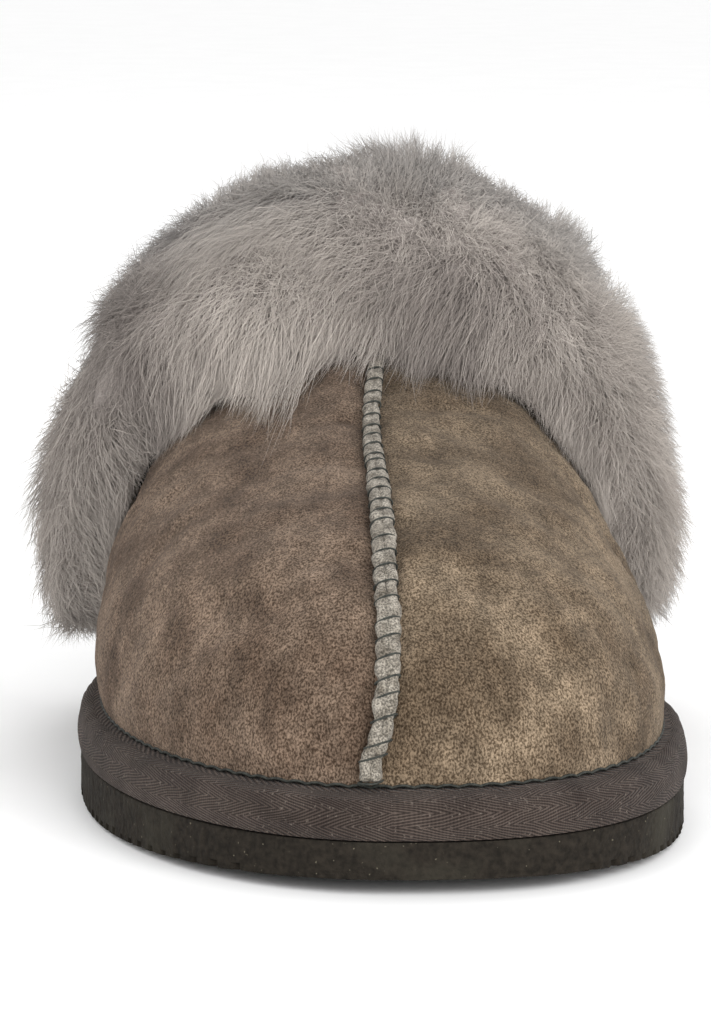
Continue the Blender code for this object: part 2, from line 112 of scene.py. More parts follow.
# %% A node group for uneven tone
def build_tone_group():
    """Noise turned into a mask and a colour between a dark and a light tone."""
    group = bpy.data.node_groups.new("uneven tone", "ShaderNodeTree")
    face = group.interface
    face.new_socket("Vector", in_out="INPUT", socket_type="NodeSocketVector")
    for label, value in (("Scale", 100.0), ("Detail", 3.0), ("Low", 0.35), ("High", 0.65)):
        face.new_socket(label, in_out="INPUT", socket_type="NodeSocketFloat").default_value = value
    face.new_socket("Dark", in_out="INPUT", socket_type="NodeSocketColor")
    face.new_socket("Light", in_out="INPUT", socket_type="NodeSocketColor")
    face.new_socket("Color", in_out="OUTPUT", socket_type="NodeSocketColor")
    face.new_socket("Mask", in_out="OUTPUT", socket_type="NodeSocketFloat")
    nodes, links = group.nodes, group.links
    given, result = nodes.new("NodeGroupInput"), nodes.new("NodeGroupOutput")
    noise, spread = nodes.new("ShaderNodeTexNoise"), nodes.new("ShaderNodeMapRange")
    mix = nodes.new("ShaderNodeMix")
    mix.data_type = "RGBA"
    for source, label, target, socket in (
        (given, "Vector", noise, "Vector"),
        (given, "Scale", noise, "Scale"),
        (given, "Detail", noise, "Detail"),
        (noise, "Fac", spread, "Value"),
        (given, "Low", spread, "From Min"),
        (given, "High", spread, "From Max"),
        (spread, "Result", mix, "Factor"),
        (given, "Dark", mix, "A"),
        (given, "Light", mix, "B"),
        (mix, "Result", result, "Color"),
        (spread, "Result", result, "Mask"),
    ):
        links.new(source.outputs[label], target.inputs[socket])
    return group


TONE = build_tone_group()
print("shared node group:", TONE.name)


# %% Helpers that set up a material
def rgb(red, green, blue):
    """A colour given as screen values from 0 to 255, in the linear light that shaders use."""
    shares = [c / 255 for c in (red, green, blue)]
    return (*[s / 12.92 if s <= 0.04045 else ((s + 0.055) / 1.055) ** 2.4 for s in shares], 1.0)


BLACK, WHITE = rgb(0, 0, 0), rgb(255, 255, 255)


def start_material(name, roughness, sheen=0.0, specular=0.3):
    """A new material with its Principled shader set up, and its parts for adding patterns."""
    finish = bpy.data.materials.new(name)
    finish.use_nodes = True
    tree = finish.node_tree
    shader = tree.nodes["Principled BSDF"]
    shader.inputs["Roughness"].default_value = roughness
    shader.inputs["Specular IOR Level"].default_value = specular
    shader.inputs["Sheen Weight"].default_value = sheen
    shader.inputs["Sheen Roughness"].default_value = 0.5
    return finish, tree, shader


def object_places(tree, stretch=(1.0, 1.0, 1.0)):
    """The slipper's own coordinates in metres, stretched for a grain that runs one way."""
    places, mapping = tree.nodes.new("ShaderNodeTexCoord"), tree.nodes.new("ShaderNodeMapping")
    mapping.inputs["Scale"].default_value = stretch
    tree.links.new(places.outputs["Object"], mapping.inputs["Vector"])
    return mapping.outputs["Vector"]


def tone(tree, vector, scale, dark, light, low=0.35, high=0.65, detail=3.0):
    """One placed copy of the tone group."""
    node = tree.nodes.new("ShaderNodeGroup")
    node.node_tree = TONE
    tree.links.new(vector, node.inputs["Vector"])
    for label, value in (("Scale", scale), ("Detail", detail), ("Low", low), ("High", high)):
        node.inputs[label].default_value = value
    node.inputs["Dark"].default_value = dark
    node.inputs["Light"].default_value = light
    return node


def patches(tree, vector, scale, low, high, detail=3.0):
    """Only the mask of a tone, for laying one colour over another."""
    return tone(tree, vector, scale, BLACK, WHITE, low, high, detail).outputs["Mask"]


def blend(tree, kind, factor, first, second):
    """Mixes two colours. The factor is a number or a socket."""
    mix = tree.nodes.new("ShaderNodeMix")
    mix.data_type = "RGBA"
    mix.blend_type = kind
    for source, label in ((factor, "Factor"), (first, "A"), (second, "B")):
        if isinstance(source, bpy.types.NodeSocket):
            tree.links.new(source, mix.inputs[label])
        else:
            mix.inputs[label].default_value = source
    return mix.outputs["Result"]


def bump(tree, shader, height, strength, distance):
    """Feeds a height pattern to the shader as bump."""
    node = tree.nodes.new("ShaderNodeBump")
    node.inputs["Strength"].default_value = strength
    node.inputs["Distance"].default_value = distance
    tree.links.new(height, node.inputs["Height"])
    tree.links.new(node.outputs["Normal"], shader.inputs["Normal"])


EVEN_SPREAD = (0.35, 0.65, 3.0)  # a tone's low, high and detail
ALL_WAYS_ALIKE, ALONG_THE_SOLE = (1.0, 1.0, 1.0), (1.0, 0.15, 1.0)


def grained(name, roughness, grain, dark, light, relief, spread=EVEN_SPREAD, stretch=ALL_WAYS_ALIKE, **shine):
    """A plain finish: one uneven tone, whose pattern also stands out in relief."""
    finish, tree, shader = start_material(name, roughness, **shine)
    tones = tone(tree, object_places(tree, stretch), grain, dark, light, *spread)
    tree.links.new(tones.outputs["Color"], shader.inputs["Base Color"])
    bump(tree, shader, tones.outputs["Mask"], *relief)
    return finish


# %% Helpers that turn a bmesh into a finished piece
def add_piece(name, mesh, finish, stands_for=()):
    """Links a mesh as a piece of the slipper."""
    piece = bpy.data.objects.new(name, mesh)
    bpy.context.scene.collection.objects.link(piece)
    mesh.materials.append(finish)
    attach(piece, BODY)
    if stands_for:
        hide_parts(*stands_for)
    print(name, "triangles:", len(mesh.loops) - 2 * len(mesh.polygons))
    return piece


def finish_bmesh(name, bm, finish, stands_for=(), sharp=40.0, weld=1e-6):
    """Welds a bmesh, points its faces outwards, shades it and adds it."""
    bmesh.ops.remove_doubles(bm, verts=bm.verts, dist=weld)
    bmesh.ops.recalc_face_normals(bm, faces=bm.faces)
    mesh = bpy.data.meshes.new(name)
    bm.to_mesh(mesh)
    bm.free()
    mesh.shade_smooth()
    mesh.set_sharp_from_angle(angle=math.radians(sharp))
    return add_piece(name, mesh, finish, stands_for)


def mapped_grid(columns, rows, place):
    """A flat grid of faces whose corners are carried to their places by a function of their two shares."""
    bm = bmesh.new()
    bm.loops.layers.uv.new("Weave")
    bmesh.ops.create_grid(bm, x_segments=columns, y_segments=rows, size=1.0, calc_uvs=True)
    shares = np.array([vertex.co[:] for vertex in bm.verts])
    places = place((shares[:, 0] + 1) / 2, (shares[:, 1] + 1) / 2)
    for vertex, co in zip(bm.verts, places, strict=True):
        vertex.co = co
    return bm


def closed_sheet(columns, rows, outer, inner):
    """Two surfaces, each a function of its two shares, joined into one body round all four rims."""
    around = 2 * columns + 2

    def place(u, v):
        number = np.rint(u * around).astype(int) % around
        on_outer = number <= columns
        across = np.where(on_outer, number, 2 * columns + 1 - number) / columns
        row = np.rint(v * (rows + 2))
        along = np.clip((row - 1) / rows, 0.0, 1.0)
        top, bottom = outer(across, along), inner(across, along)
        at_rim = (row == 0) | (row == rows + 2)
        weight = np.where(at_rim, 0.5, np.where(on_outer, 1.0, 0.0))[:, None]
        return top * weight + bottom * (1 - weight)

    return mapped_grid(around, rows + 2, place)


def ripple(points, size, seed, waves=9):
    """Smooth random hills of about one size, from a sum of slanted waves."""
    draw = np.random.default_rng(seed)
    total = np.zeros(len(points))
    for _ in range(waves):
        way = draw.normal(size=3)
        way *= draw.uniform(0.7, 1.5) * 2 * math.pi / size / np.linalg.norm(way)
        total += np.sin(points @ way + draw.uniform(0, 2 * math.pi))
    return total / math.sqrt(waves / 2)


# %% [markdown]
# ## Floor
# The floor is only there to stand on and to catch a soft shadow, so it is one wide pale plane.

# %% Floor
floor_bm = bmesh.new()
bmesh.ops.create_grid(floor_bm, x_segments=1, y_segments=1, size=8.0)
floor_mesh = bpy.data.meshes.new("floor")
floor_bm.to_mesh(floor_mesh)
floor_bm.free()
floor_finish, floor_tree, floor_shader = start_material("pale floor", 0.8)
floor_tones = tone(floor_tree, object_places(floor_tree), 40.0, rgb(250, 250, 250), rgb(252, 252, 252))
floor_tree.links.new(floor_tones.outputs["Color"], floor_shader.inputs["Base Color"])
floor_mesh.materials.append(floor_finish)
floor = bpy.data.objects.new("floor", floor_mesh)
floor.location.z = -0.0002
bpy.context.scene.collection.objects.link(floor)

# %% [markdown]
# ## The slipper's form
# The sole's outline and the arch of the upper are formulas, so that a seam, a tuft of wool or a stitch can be
# placed by two shares: how far across, from the outer foot of the upper (-1) over the crown (0) to the inner
# foot (1), and how far along, from the toe (0) to the throat (1). The overall length and width come from the
# packed sole. The functions take whole arrays, because the wool asks for half a million points.

# %% Sizes of the sole and the upper
LATERAL, MEDIAL = -1, 1
sole_low, sole_high = (Vector(corner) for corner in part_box("outsole"))
SOLE_LENGTH = sole_high.y - sole_low.y
BALL_WIDTH = sole_high.x - sole_low.x
MIDDLE_X = (sole_low.x + sole_high.x) / 2
TOE_Y = sole_low.y
HEEL_WIDTH = 75 * MM
WAIST_HALF_WIDTH = {LATERAL: 41.5 * MM, MEDIAL: 36.5 * MM}
BALL_DISTANCE = {LATERAL: 88 * MM, MEDIAL: 66 * MM}
TOE_FULLNESS = {LATERAL: 2.05, MEDIAL: 2.45}
TOE_SHIFT, HEEL_SHIFT = 2 * MM, 3 * MM
HEEL_CENTRE = SOLE_LENGTH - HEEL_WIDTH / 2
FEATHER_INSET = 3.6 * MM
HIDE_THICKNESS = 2 * MM
VAMP_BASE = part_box("vamp_lateral_hide")[0][2]
TOE_BOX_HEIGHT, TOE_BOX_LENGTH, TOE_BOX_FULLNESS = 33.5 * MM, 45 * MM, 2.2
INSTEP_RISE, INSTEP_POWER = 34 * MM, 1.6
THROAT_TOP, THROAT_SIDE, THROAT_SWEEP = 138 * MM, 168 * MM, 1.5
SECTION_FULLNESS = 2.15
SIDE_BULGE = {LATERAL: 0.05, MEDIAL: 0.015}
print("sole", round(SOLE_LENGTH / MM, 1), "x", round(BALL_WIDTH / MM, 1), "mm")


# %% The outline of the sole
def ease(share):
    """A smooth step from 0 to 1."""
    share = np.clip(share, 0.0, 1.0)
    return share * share * (3 - 2 * share)


def superellipse(reach, power):
    """The height of a rounded quarter arc, which is 1 at reach 0 and 0 at reach 1."""
    return np.maximum(0.0, 1 - np.clip(reach, 0.0, 1.0) ** power) ** (1 / power)


def by_side(side, sizes):
    """The lateral or the medial value of a size, for an array of sides."""
    return np.where(side > 0, sizes[MEDIAL], sizes[LATERAL])


def half_width(side, y, inset):
    """From the sole's middle line to its edge, y behind the toe tip."""
    ball_y = by_side(side, BALL_DISTANCE)
    waist_y = (ball_y + HEEL_CENTRE) / 2
    ball, heel = BALL_WIDTH / 2 - inset, HEEL_WIDTH / 2 - inset
    waist = by_side(side, WAIST_HALF_WIDTH) - inset
    toe_part = ball * superellipse((ball_y - y) / (ball_y - inset), by_side(side, TOE_FULLNESS))
    front_part = ball + (waist - ball) * ease((y - ball_y) / (waist_y - ball_y))
    back_part = waist + (heel - waist) * ease((y - waist_y) / (HEEL_CENTRE - waist_y))
    heel_part = heel * superellipse((y - HEEL_CENTRE) / (SOLE_LENGTH - inset - HEEL_CENTRE), 2)
    stretches = [y <= ball_y, y <= waist_y, y <= HEEL_CENTRE]
    return np.select(stretches, [toe_part, front_part, back_part], heel_part)


def centre_line(y):
    """How far the middle line swings towards the inner side, at the toe and at the heel."""
    toe = 1 - np.minimum(y / BALL_DISTANCE[MEDIAL], 1.0)
    heel = ease((y - BALL_DISTANCE[LATERAL]) / (HEEL_CENTRE - BALL_DISTANCE[LATERAL]))
    return TOE_SHIFT * toe * toe + HEEL_SHIFT * heel


def outline(turn, inset, height):
    """Points on the sole's outline. turn runs from 0 at the toe, round the inner side and the heel, to 1."""
    side = np.where(turn <= 0.5, MEDIAL, LATERAL)
    travel = (1 - np.cos(2 * math.pi * turn)) / 2
    y = inset + (SOLE_LENGTH - 2 * inset) * travel
    x = centre_line(y) + side * half_width(side, y, inset)
    return np.stack([MIDDLE_X + x, TOE_Y + y, np.broadcast_to(height, y.shape)], axis=1)


# %% The arch of the upper
SEAM_SPLIT = 0.2 * MM
SEAM_HOOK, SEAM_HOOK_START, SEAM_HOOK_LENGTH = -3.2 * MM, 0.03, 0.06
SEAM_BOW, SEAM_BOW_PLACE, SEAM_BOW_LENGTH = -1.1 * MM, 0.68, 0.12


def seam_sway(along):
    """Hand stitching wanders: the centre seam hooks outwards at the toe and bows a little on the instep."""
    hook = SEAM_HOOK * np.exp(-np.maximum(along - SEAM_HOOK_START, 0) / SEAM_HOOK_LENGTH)
    bow = SEAM_BOW * np.exp(-(((along - SEAM_BOW_PLACE) / SEAM_BOW_LENGTH) ** 2))
    return hook + bow


def crown(y, inset):
    """Height of the upper over its foot, along the crown."""
    start = FEATHER_INSET + inset
    toe_box = superellipse(1 - (y - start) / TOE_BOX_LENGTH, TOE_BOX_FULLNESS)
    climb = np.maximum(y - start, 0) / (THROAT_TOP - start)
    return (TOE_BOX_HEIGHT - inset) * toe_box + INSTEP_RISE * climb**INSTEP_POWER


def vamp_point(across, along, outwards=0.0, side=None):
    """A point of the upper's surface, or a distance outside it."""
    side = np.where(across < 0, LATERAL, MEDIAL) if side is None else side
    inset = -outwards
    angle = math.pi / 2 * np.abs(across)
    start = FEATHER_INSET + inset
    throat = THROAT_TOP + (THROAT_SIDE - THROAT_TOP) * np.abs(across) ** THROAT_SWEEP
    y = start + (throat - start) * (1 - np.cos(math.pi / 2 * along))
    out = np.sin(angle) ** (2 / SECTION_FULLNESS)
    up = np.maximum(np.cos(angle), 0) ** (2 / SECTION_FULLNESS)
    swell = 1 + by_side(side, SIDE_BULGE) * np.sqrt(np.maximum(np.sin(2 * angle), 0))
    width = half_width(side, y, start) * out * swell
    x = centre_line(y) + side * (SEAM_SPLIT + width) + seam_sway(along) * (1 - np.abs(across)) ** 4
    return np.stack([MIDDLE_X + x, TOE_Y + y, VAMP_BASE + crown(y, inset) * up], axis=-1)


def unit(ways):
    """Directions brought to length 1. One without a length stays as it is."""
    return ways / np.maximum(np.linalg.norm(ways, axis=-1, keepdims=True), 1e-9)


def seam_point(along, sideways, outwards):
    """A point over the centre seam, square to the crown."""
    step = 0.004
    ahead = vamp_point(np.zeros_like(along), along + step, 0.0, MEDIAL)
    behind = vamp_point(np.zeros_like(along), along - step, 0.0, MEDIAL)
    run = unit(ahead - behind)
    normal = np.stack([np.zeros(len(run)), -run[:, 2], run[:, 1]], axis=1)
    middle = (ahead + behind) / 2 - np.array([SEAM_SPLIT, 0.0, 0.0])
    middle += normal * np.broadcast_to(outwards, along.shape)[:, None]
    middle[:, 0] += sideways
    return middle


print("throat crown at", np.round(vamp_point(np.array([0.0]), np.array([1.0]))[0] / MM, 1), "mm")

# %% [markdown]
# ## Layers of the sole
# A flat layer, such as the rubber outsole or the foam, is one section swept from toe to heel. Each row of the
# grid is the section at one distance from the toe. The two end rows have no width, so their sides meet and
# weld into the tip of the toe and the back of the heel.


# %% A layer swept from toe to heel
ROUGH_GRAIN, TIP_WIDTH = 3 * MM, 2 * MM


def layer_section(radius):
    """The section's points: which side, how far in from the edge, share of the height, and lift in metres."""
    near = 0.3 * radius
    right = [
        (radius, 0.0, 0.0),
        (near, 0.0, near),
        (0.0, 0.0, radius),
        (0.0, 0.35, 0.0),
        (0.0, 0.65, 0.0),
        (0.0, 1.0, -radius),
        (near, 1.0, -near),
        (radius, 1.0, 0.0),
    ]
    left = [(pulled, share, lift) for pulled, share, lift in reversed(right)]
    return [(MEDIAL, *point) for point in right] + [(LATERAL, *point) for point in left]


def sole_layer(inset, bottom, top, radius, stations, roughen=0.0, seed=0):
    """A bmesh of one layer. bottom and top are heights, or functions of the distance from the toe."""
    section = layer_section(radius)
    side = np.array([point[0] for point in section])
    pulled, share, lift = (np.array([point[i] for point in section]) for i in (1, 2, 3))

    def place(u, v):
        column = np.rint(u * len(section)).astype(int) % len(section)
        y = np.interp(v * (len(stations) - 1), np.arange(len(stations)), stations)
        low = bottom(y) if callable(bottom) else bottom
        high = top(y) if callable(top) else top
        room = half_width(side[column], y, inset)
        x = side[column] * np.maximum(room - pulled[column], 0.0)
        z = low + (high - low) * share[column] + lift[column]
        points = np.stack([MIDDLE_X + centre_line(y) + x, TOE_Y + y, z], axis=1)
        if roughen:
            rough = roughen * ripple(points, ROUGH_GRAIN, seed) * (room > TIP_WIDTH)
            points[:, 0] += side[column] * rough
            points[:, 2] = np.maximum(points[:, 2] + 0.5 * rough * (share[column] < 0.5), 0.0)
        return points

    return mapped_grid(len(section), len(stations) - 1, place)


def plain_stations(inset, count=90):
    """Distances from the toe, close together at both ends."""
    turn = np.linspace(0, math.pi, count)
    return inset + (SOLE_LENGTH - 2 * inset) * (1 - np.cos(turn)) / 2


# %% [markdown]
# ## Outsole
# The outsole is cut from a sheet of dark foam rubber, so its side is flat with a slightly torn texture, and
# its underside has fine cross ribs whose ends show as small teeth where the outline turns. The toe end is
# ground up a little. The rib grooves are extra rows of the sweep, so they are real and need no cutter. The
# rubber itself is near black with a greenish cast, dulled by dust that clings in patches.

# %% Outsole
OUTSOLE_TOP = sole_high.z
TOE_SPRING, TOE_SPRING_LENGTH = 2.3 * MM, 60 * MM
RIB_PITCH, GROOVE_WIDTH, GROOVE_DEPTH, GROOVE_UNEVEN = 3.5 * MM, 1.5 * MM, 1.0 * MM, 0.25
GROOVE_WALLS = (-1.06, -0.94, 0.94, 1.06)  # two rows close together at each wall, in half widths
PLAIN_TOE, PLAIN_HEEL, PLAIN_WAIST = 10 * MM, 10 * MM, 22 * MM
WAIST_Y = (BALL_DISTANCE[MEDIAL] + HEEL_CENTRE) / 2

groove_starts = [
    start + RIB_PITCH * step
    for start, end in ((PLAIN_TOE, WAIST_Y - PLAIN_WAIST), (WAIST_Y + PLAIN_WAIST, SOLE_LENGTH - PLAIN_HEEL))
    for step in range(int((end - start) / RIB_PITCH) + 1)
]
groove_rows = np.array([
    centre + shift * GROOVE_WIDTH / 2 for centre in groove_starts for shift in GROOVE_WALLS
])
outsole_rows = np.sort(np.concatenate([plain_stations(0.0, 110), groove_rows]))
groove_draw = np.random.default_rng(5)
groove_depths = {
    start: GROOVE_DEPTH * groove_draw.uniform(1 - GROOVE_UNEVEN, 1 + GROOVE_UNEVEN) for start in groove_starts
}


def outsole_bottom(y):
    """The underside: risen at the toe, and cut up by the grooves."""
    height = TOE_SPRING * np.maximum(0.0, 1 - y / TOE_SPRING_LENGTH) ** 2
    for start, depth in groove_depths.items():
        height = np.where(np.abs(y - start) < GROOVE_WIDTH / 2, height + depth, height)
    return height


outsole_finish, tree, shader = start_material("cut foam rubber", 0.92, specular=0.15)
places = object_places(tree)
dark = tone(tree, places, 900.0, rgb(26, 23, 19), rgb(46, 41, 35), 0.3, 0.7, 4.0)
dust = patches(tree, places, 60.0, 0.5, 0.75, 5.0)
dusty = blend(tree, "MIX", dust, dark.outputs["Color"], rgb(58, 55, 47))
specks = patches(tree, places, 1500.0, 0.745, 0.79, 1.0)
speckled = blend(tree, "MIX", specks, dusty, rgb(104, 98, 84))
tree.links.new(speckled, shader.inputs["Base Color"])
bump(tree, shader, dark.outputs["Mask"], 0.6, 0.0004)
outsole_bm = sole_layer(0.0, outsole_bottom, OUTSOLE_TOP, 0.35 * MM, outsole_rows, 0.07 * MM, 3)
finish_bmesh("outsole_rubber", outsole_bm, outsole_finish, ["outsole"], sharp=30)

# %% [markdown]
# ## Inside the sole
# The foam midsole and the lasting board are fully covered once the slipper is closed. Their CAD shapes are
# right, so the nodes stay as they are and only get real finishes. The footbed's foam and its skin show their
# edges at the open heel, so they get soft rounded edges of their own.

# %% Foam and board finishes
foam_finish = grained(
    "sole foam", 0.9, 1400.0, rgb(70, 66, 62), rgb(96, 91, 86), relief=(0.4, 0.3 * MM), spread=(0.4, 0.6, 2.0)
)
board_finish = grained(
    "lasting board", 0.85, 900.0, rgb(84, 76, 68), rgb(108, 99, 89), (0.3, 0.2 * MM), stretch=ALONG_THE_SOLE
)
skin_finish = grained(
    "sheep skin", 0.8, 500.0, rgb(118, 104, 90), rgb(150, 136, 118), relief=(0.4, 0.3 * MM), sheen=0.2
)

for node, finish in (("midsole", foam_finish), ("insole_board", board_finish)):
    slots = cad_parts[node].material_slots
    for slot_of_node in slots:
        slot_of_node.material = finish
    print(node, "keeps its CAD shape with", len(slots), "new finish")

# %% Footbed foam and skin
foam_low, foam_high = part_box("footbed_foam")
skin_low, skin_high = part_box("footbed_hide")
pile_low, pile_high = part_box("footbed_pile")
FOOTBED_INSET = FEATHER_INSET + HIDE_THICKNESS + 1 * MM

footbed_rows = plain_stations(FOOTBED_INSET)
foam_bm = sole_layer(FOOTBED_INSET, foam_low[2], foam_high[2], 1.0 * MM, footbed_rows)
footbed_foam = finish_bmesh("footbed_cushion", foam_bm, foam_finish, ["footbed_foam"])
skin_bm = sole_layer(FOOTBED_INSET, skin_low[2], skin_high[2], 0.5 * MM, footbed_rows, 0.1 * MM, 4)
finish_bmesh("footbed_skin", skin_bm, skin_finish, ["footbed_hide"])

# %% [markdown]
# ## Platform tape
# A cotton tape is wrapped round the platform: it rises over the side with a soft bulge, turns over the top
# edge and is caught under the upper. The tape is a closed band, so it is a grid whose two directions both
# join up. Its weave is a herringbone: fine slanted ribs whose slant flips from one band to the next. The
# grid's own UV map, which runs round the sole and across the tape, carries that pattern round every curve.

# %% Tape
tape_low, tape_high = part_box("platform_wrap")
TAPE_BOTTOM, TAPE_TOP = tape_low[2], tape_high[2]
TAPE_BULGE, TAPE_THICKNESS, TAPE_FOLD, TAPE_SLOPE = 0.6 * MM, 1.5 * MM, 2.2 * MM, 0.4 * MM
TAPE_LIP = FEATHER_INSET + 0.6 * MM
TAPE_STEPS_ROUND, TAPE_STEPS_UP, TAPE_STEPS_OVER = 300, 7, 6
TAPE_PUCKER, TAPE_PUCKER_SIZE = 0.13 * MM, 7 * MM


def tape_profile():
    """The tape's section as (inset, height): up the side, over the fold to the feather line, back inside."""
    straight = TAPE_TOP - TAPE_SLOPE - TAPE_FOLD - TAPE_BOTTOM
    rise = [
        (-TAPE_BULGE * math.sin(math.pi * (0.1 + 0.8 * share)), TAPE_BOTTOM + straight * share)
        for share in np.arange(TAPE_STEPS_UP + 1) / TAPE_STEPS_UP
    ]
    start = rise[-1][0]
    fold = [
        (
            start + (TAPE_FOLD - start) * (1 - math.cos(turn)),
            TAPE_TOP - TAPE_SLOPE - TAPE_FOLD * (1 - math.sin(turn)),
        )
        for turn in math.pi / 2 * np.arange(1, TAPE_STEPS_OVER + 1) / TAPE_STEPS_OVER
    ]
    lip = [(TAPE_LIP, TAPE_TOP)]
    inside = [
        (TAPE_LIP, TAPE_TOP - TAPE_THICKNESS),
        (TAPE_THICKNESS, TAPE_TOP - TAPE_SLOPE - TAPE_THICKNESS),
        (TAPE_THICKNESS, TAPE_BOTTOM),
    ]
    return rise + fold + lip + inside


profile = np.array(tape_profile())
profile_loop = np.vstack([profile, profile[:1]])
profile_steps = np.linalg.norm(np.diff(profile_loop, axis=0), axis=1)
PROFILE_LENGTH = profile_steps.sum()


def place_tape(u, v):
    """The tape's surface: u round the sole, v round the section."""
    at = v * len(profile)
    inset = np.interp(at, np.arange(len(profile_loop)), profile_loop[:, 0])
    height = np.interp(at, np.arange(len(profile_loop)), profile_loop[:, 1])
    points = outline(u, inset, height)
    outer = (np.rint(at) >= 1) & (np.rint(at) <= TAPE_STEPS_UP + TAPE_STEPS_OVER)
    points[:, 2] += outer * TAPE_PUCKER * ripple(points, TAPE_PUCKER_SIZE, 21)
    return points


tape_finish, tree, shader = start_material("herringbone tape", 0.95, sheen=0.06, specular=0.08)
weave_map, weave_places = tree.nodes.new("ShaderNodeUVMap"), tree.nodes.new("ShaderNodeSeparateXYZ")
weave_map.uv_map = "Weave"
tree.links.new(weave_map.outputs["UV"], weave_places.inputs["Vector"])


def node_math(tree, kind, first, second=None, third=None):
    """One Math node with numbers or sockets on its inputs."""
    node = tree.nodes.new("ShaderNodeMath")
    node.operation = kind
    for source, place in ((first, 0), (second, 1), (third, 2)):
        if isinstance(source, bpy.types.NodeSocket):
            tree.links.new(source, node.inputs[place])
        elif source is not None:
            node.inputs[place].default_value = source
    return node.outputs[0]


TAPE_ROUND = 2 * (SOLE_LENGTH + 0.62 * BALL_WIDTH)  # about the way round the sole
# The map has equal steps between the section's points, which lie close together on the side. So across the
# side it counts about two for one, and the bands come out about half as wide as this measure says.
TAPE_ACROSS = PROFILE_LENGTH * len(profile) / 15
TWILL_PITCH, TWILL_BAND, TWILL_SLANT, YARN_PITCH = 0.95 * MM, 4.6 * MM, 0.45, 0.60 * MM
round_way = node_math(tree, "MULTIPLY", weave_places.outputs["X"], TAPE_ROUND)
cross_way = node_math(tree, "MULTIPLY", weave_places.outputs["Y"], TAPE_ACROSS)
zigzag = node_math(tree, "PINGPONG", cross_way, TWILL_BAND)
slanted = node_math(tree, "MULTIPLY_ADD", round_way, TWILL_SLANT, zigzag)
ribs = node_math(tree, "SINE", node_math(tree, "MULTIPLY", slanted, 2 * math.pi / TWILL_PITCH))
yarns = node_math(tree, "SINE", node_math(tree, "MULTIPLY", round_way, 2 * math.pi / YARN_PITCH))
weave = node_math(tree, "MULTIPLY_ADD", yarns, 0.25, ribs)
weave_share = node_math(tree, "MULTIPLY_ADD", weave, 0.4, 0.5)
places = object_places(tree)
tape_tones = tone(tree, places, 130.0, rgb(70, 60, 55), rgb(98, 86, 79), 0.3, 0.7)
fuzz = patches(tree, places, 1300.0, 0.35, 0.7)
shaded = blend(tree, "MULTIPLY", 0.80, tape_tones.outputs["Color"], weave_share)
lint = patches(tree, places, 1900.0, 0.62, 0.74, 2.0)
linty = blend(tree, "MIX", lint, shaded, rgb(112, 102, 94))
tree.links.new(linty, shader.inputs["Base Color"])
tape_height = node_math(tree, "MULTIPLY_ADD", fuzz, 0.35, weave_share)
bump(tree, shader, tape_height, 0.9, 0.0003)

tape_bm = mapped_grid(TAPE_STEPS_ROUND, len(profile), place_tape)
finish_bmesh("platform_tape", tape_bm, tape_finish, ["platform_wrap"], sharp=60)

# %% [markdown]
# ## Suede upper
# Each half of the upper is one piece of hide, suede side out. Its outside is a grid over the arch, pushed in
# along a few creases and puffed a little beside the seam. A second grid, a hide's thickness further in, is
# the other face of the hide, and the two are joined round their rims. Solidify would do the same in one
# call, but it throws spikes where the grid narrows to a point at the toe. The suede is brushed leather:
# blotches where the nap lies differently, finer brush marks, and short flecks. Painted light is added too:
# the inner half, on the key lamp's side, is painted a little lighter, and both are painted paler low down.

# %% Creases of the upper
# Each crease runs between two places, given as (across, along), with its depth and half width.
CREASES = {
    LATERAL: [
        ((-0.04, 0.70), (-0.50, 0.66), 1.9 * MM, 1.7 * MM),
        ((-0.05, 0.60), (-0.32, 0.60), 1.0 * MM, 1.5 * MM),
        ((-0.30, 0.60), (-0.62, 0.56), 0.9 * MM, 2.6 * MM),
        ((-0.055, 0.62), (-0.050, 0.30), 0.7 * MM, 1.1 * MM),
        ((-0.095, 0.56), (-0.085, 0.36), 0.35 * MM, 1.0 * MM),
        ((-0.30, 0.30), (-0.62, 0.42), 0.8 * MM, 4.5 * MM),
    ],
    MEDIAL: [
        ((0.06, 0.72), (0.30, 0.76), 1.2 * MM, 2.5 * MM),
        ((0.50, 0.70), (0.74, 0.62), 1.2 * MM, 3.0 * MM),
        ((0.06, 0.50), (0.05, 0.22), 0.4 * MM, 1.5 * MM),
        ((0.38, 0.46), (0.66, 0.62), 0.8 * MM, 5.0 * MM),
    ],
}
SEAM_PUFF, PUFF_PLACE, PUFF_WIDTH = 0.35 * MM, 6 * MM, 3 * MM
SEAM_DIP, DIP_WIDTH = 0.7 * MM, 2.2 * MM
HILLS, HILL_SIZE, SMALL_HILLS, SMALL_HILL_SIZE = 0.22 * MM, 16 * MM, 0.07 * MM, 5 * MM
FINER_AT_SEAM, FINER_AT_TOE = 1.15, 1.4  # powers that crowd the grid's lines there


def crease_depth(points, side):
    """How far the surface is pushed in by the creases, at each point."""
    depth = np.zeros(len(points))
    for (across_a, along_a), (across_b, along_b), deep, wide in CREASES[side]:
        ends = vamp_point(np.array([across_a, across_b]), np.array([along_a, along_b]), 0.0, side)
        run = ends[1] - ends[0]
        share = np.clip((points - ends[0]) @ run / (run @ run), 0, 1)
        gap = np.linalg.norm(points - ends[0] - share[:, None] * run, axis=1)
        fade = 1 - 0.6 * np.abs(2 * share - 1) ** 2
        depth = np.maximum(depth, deep * fade * np.exp(-((gap / wide) ** 2)))
    return depth


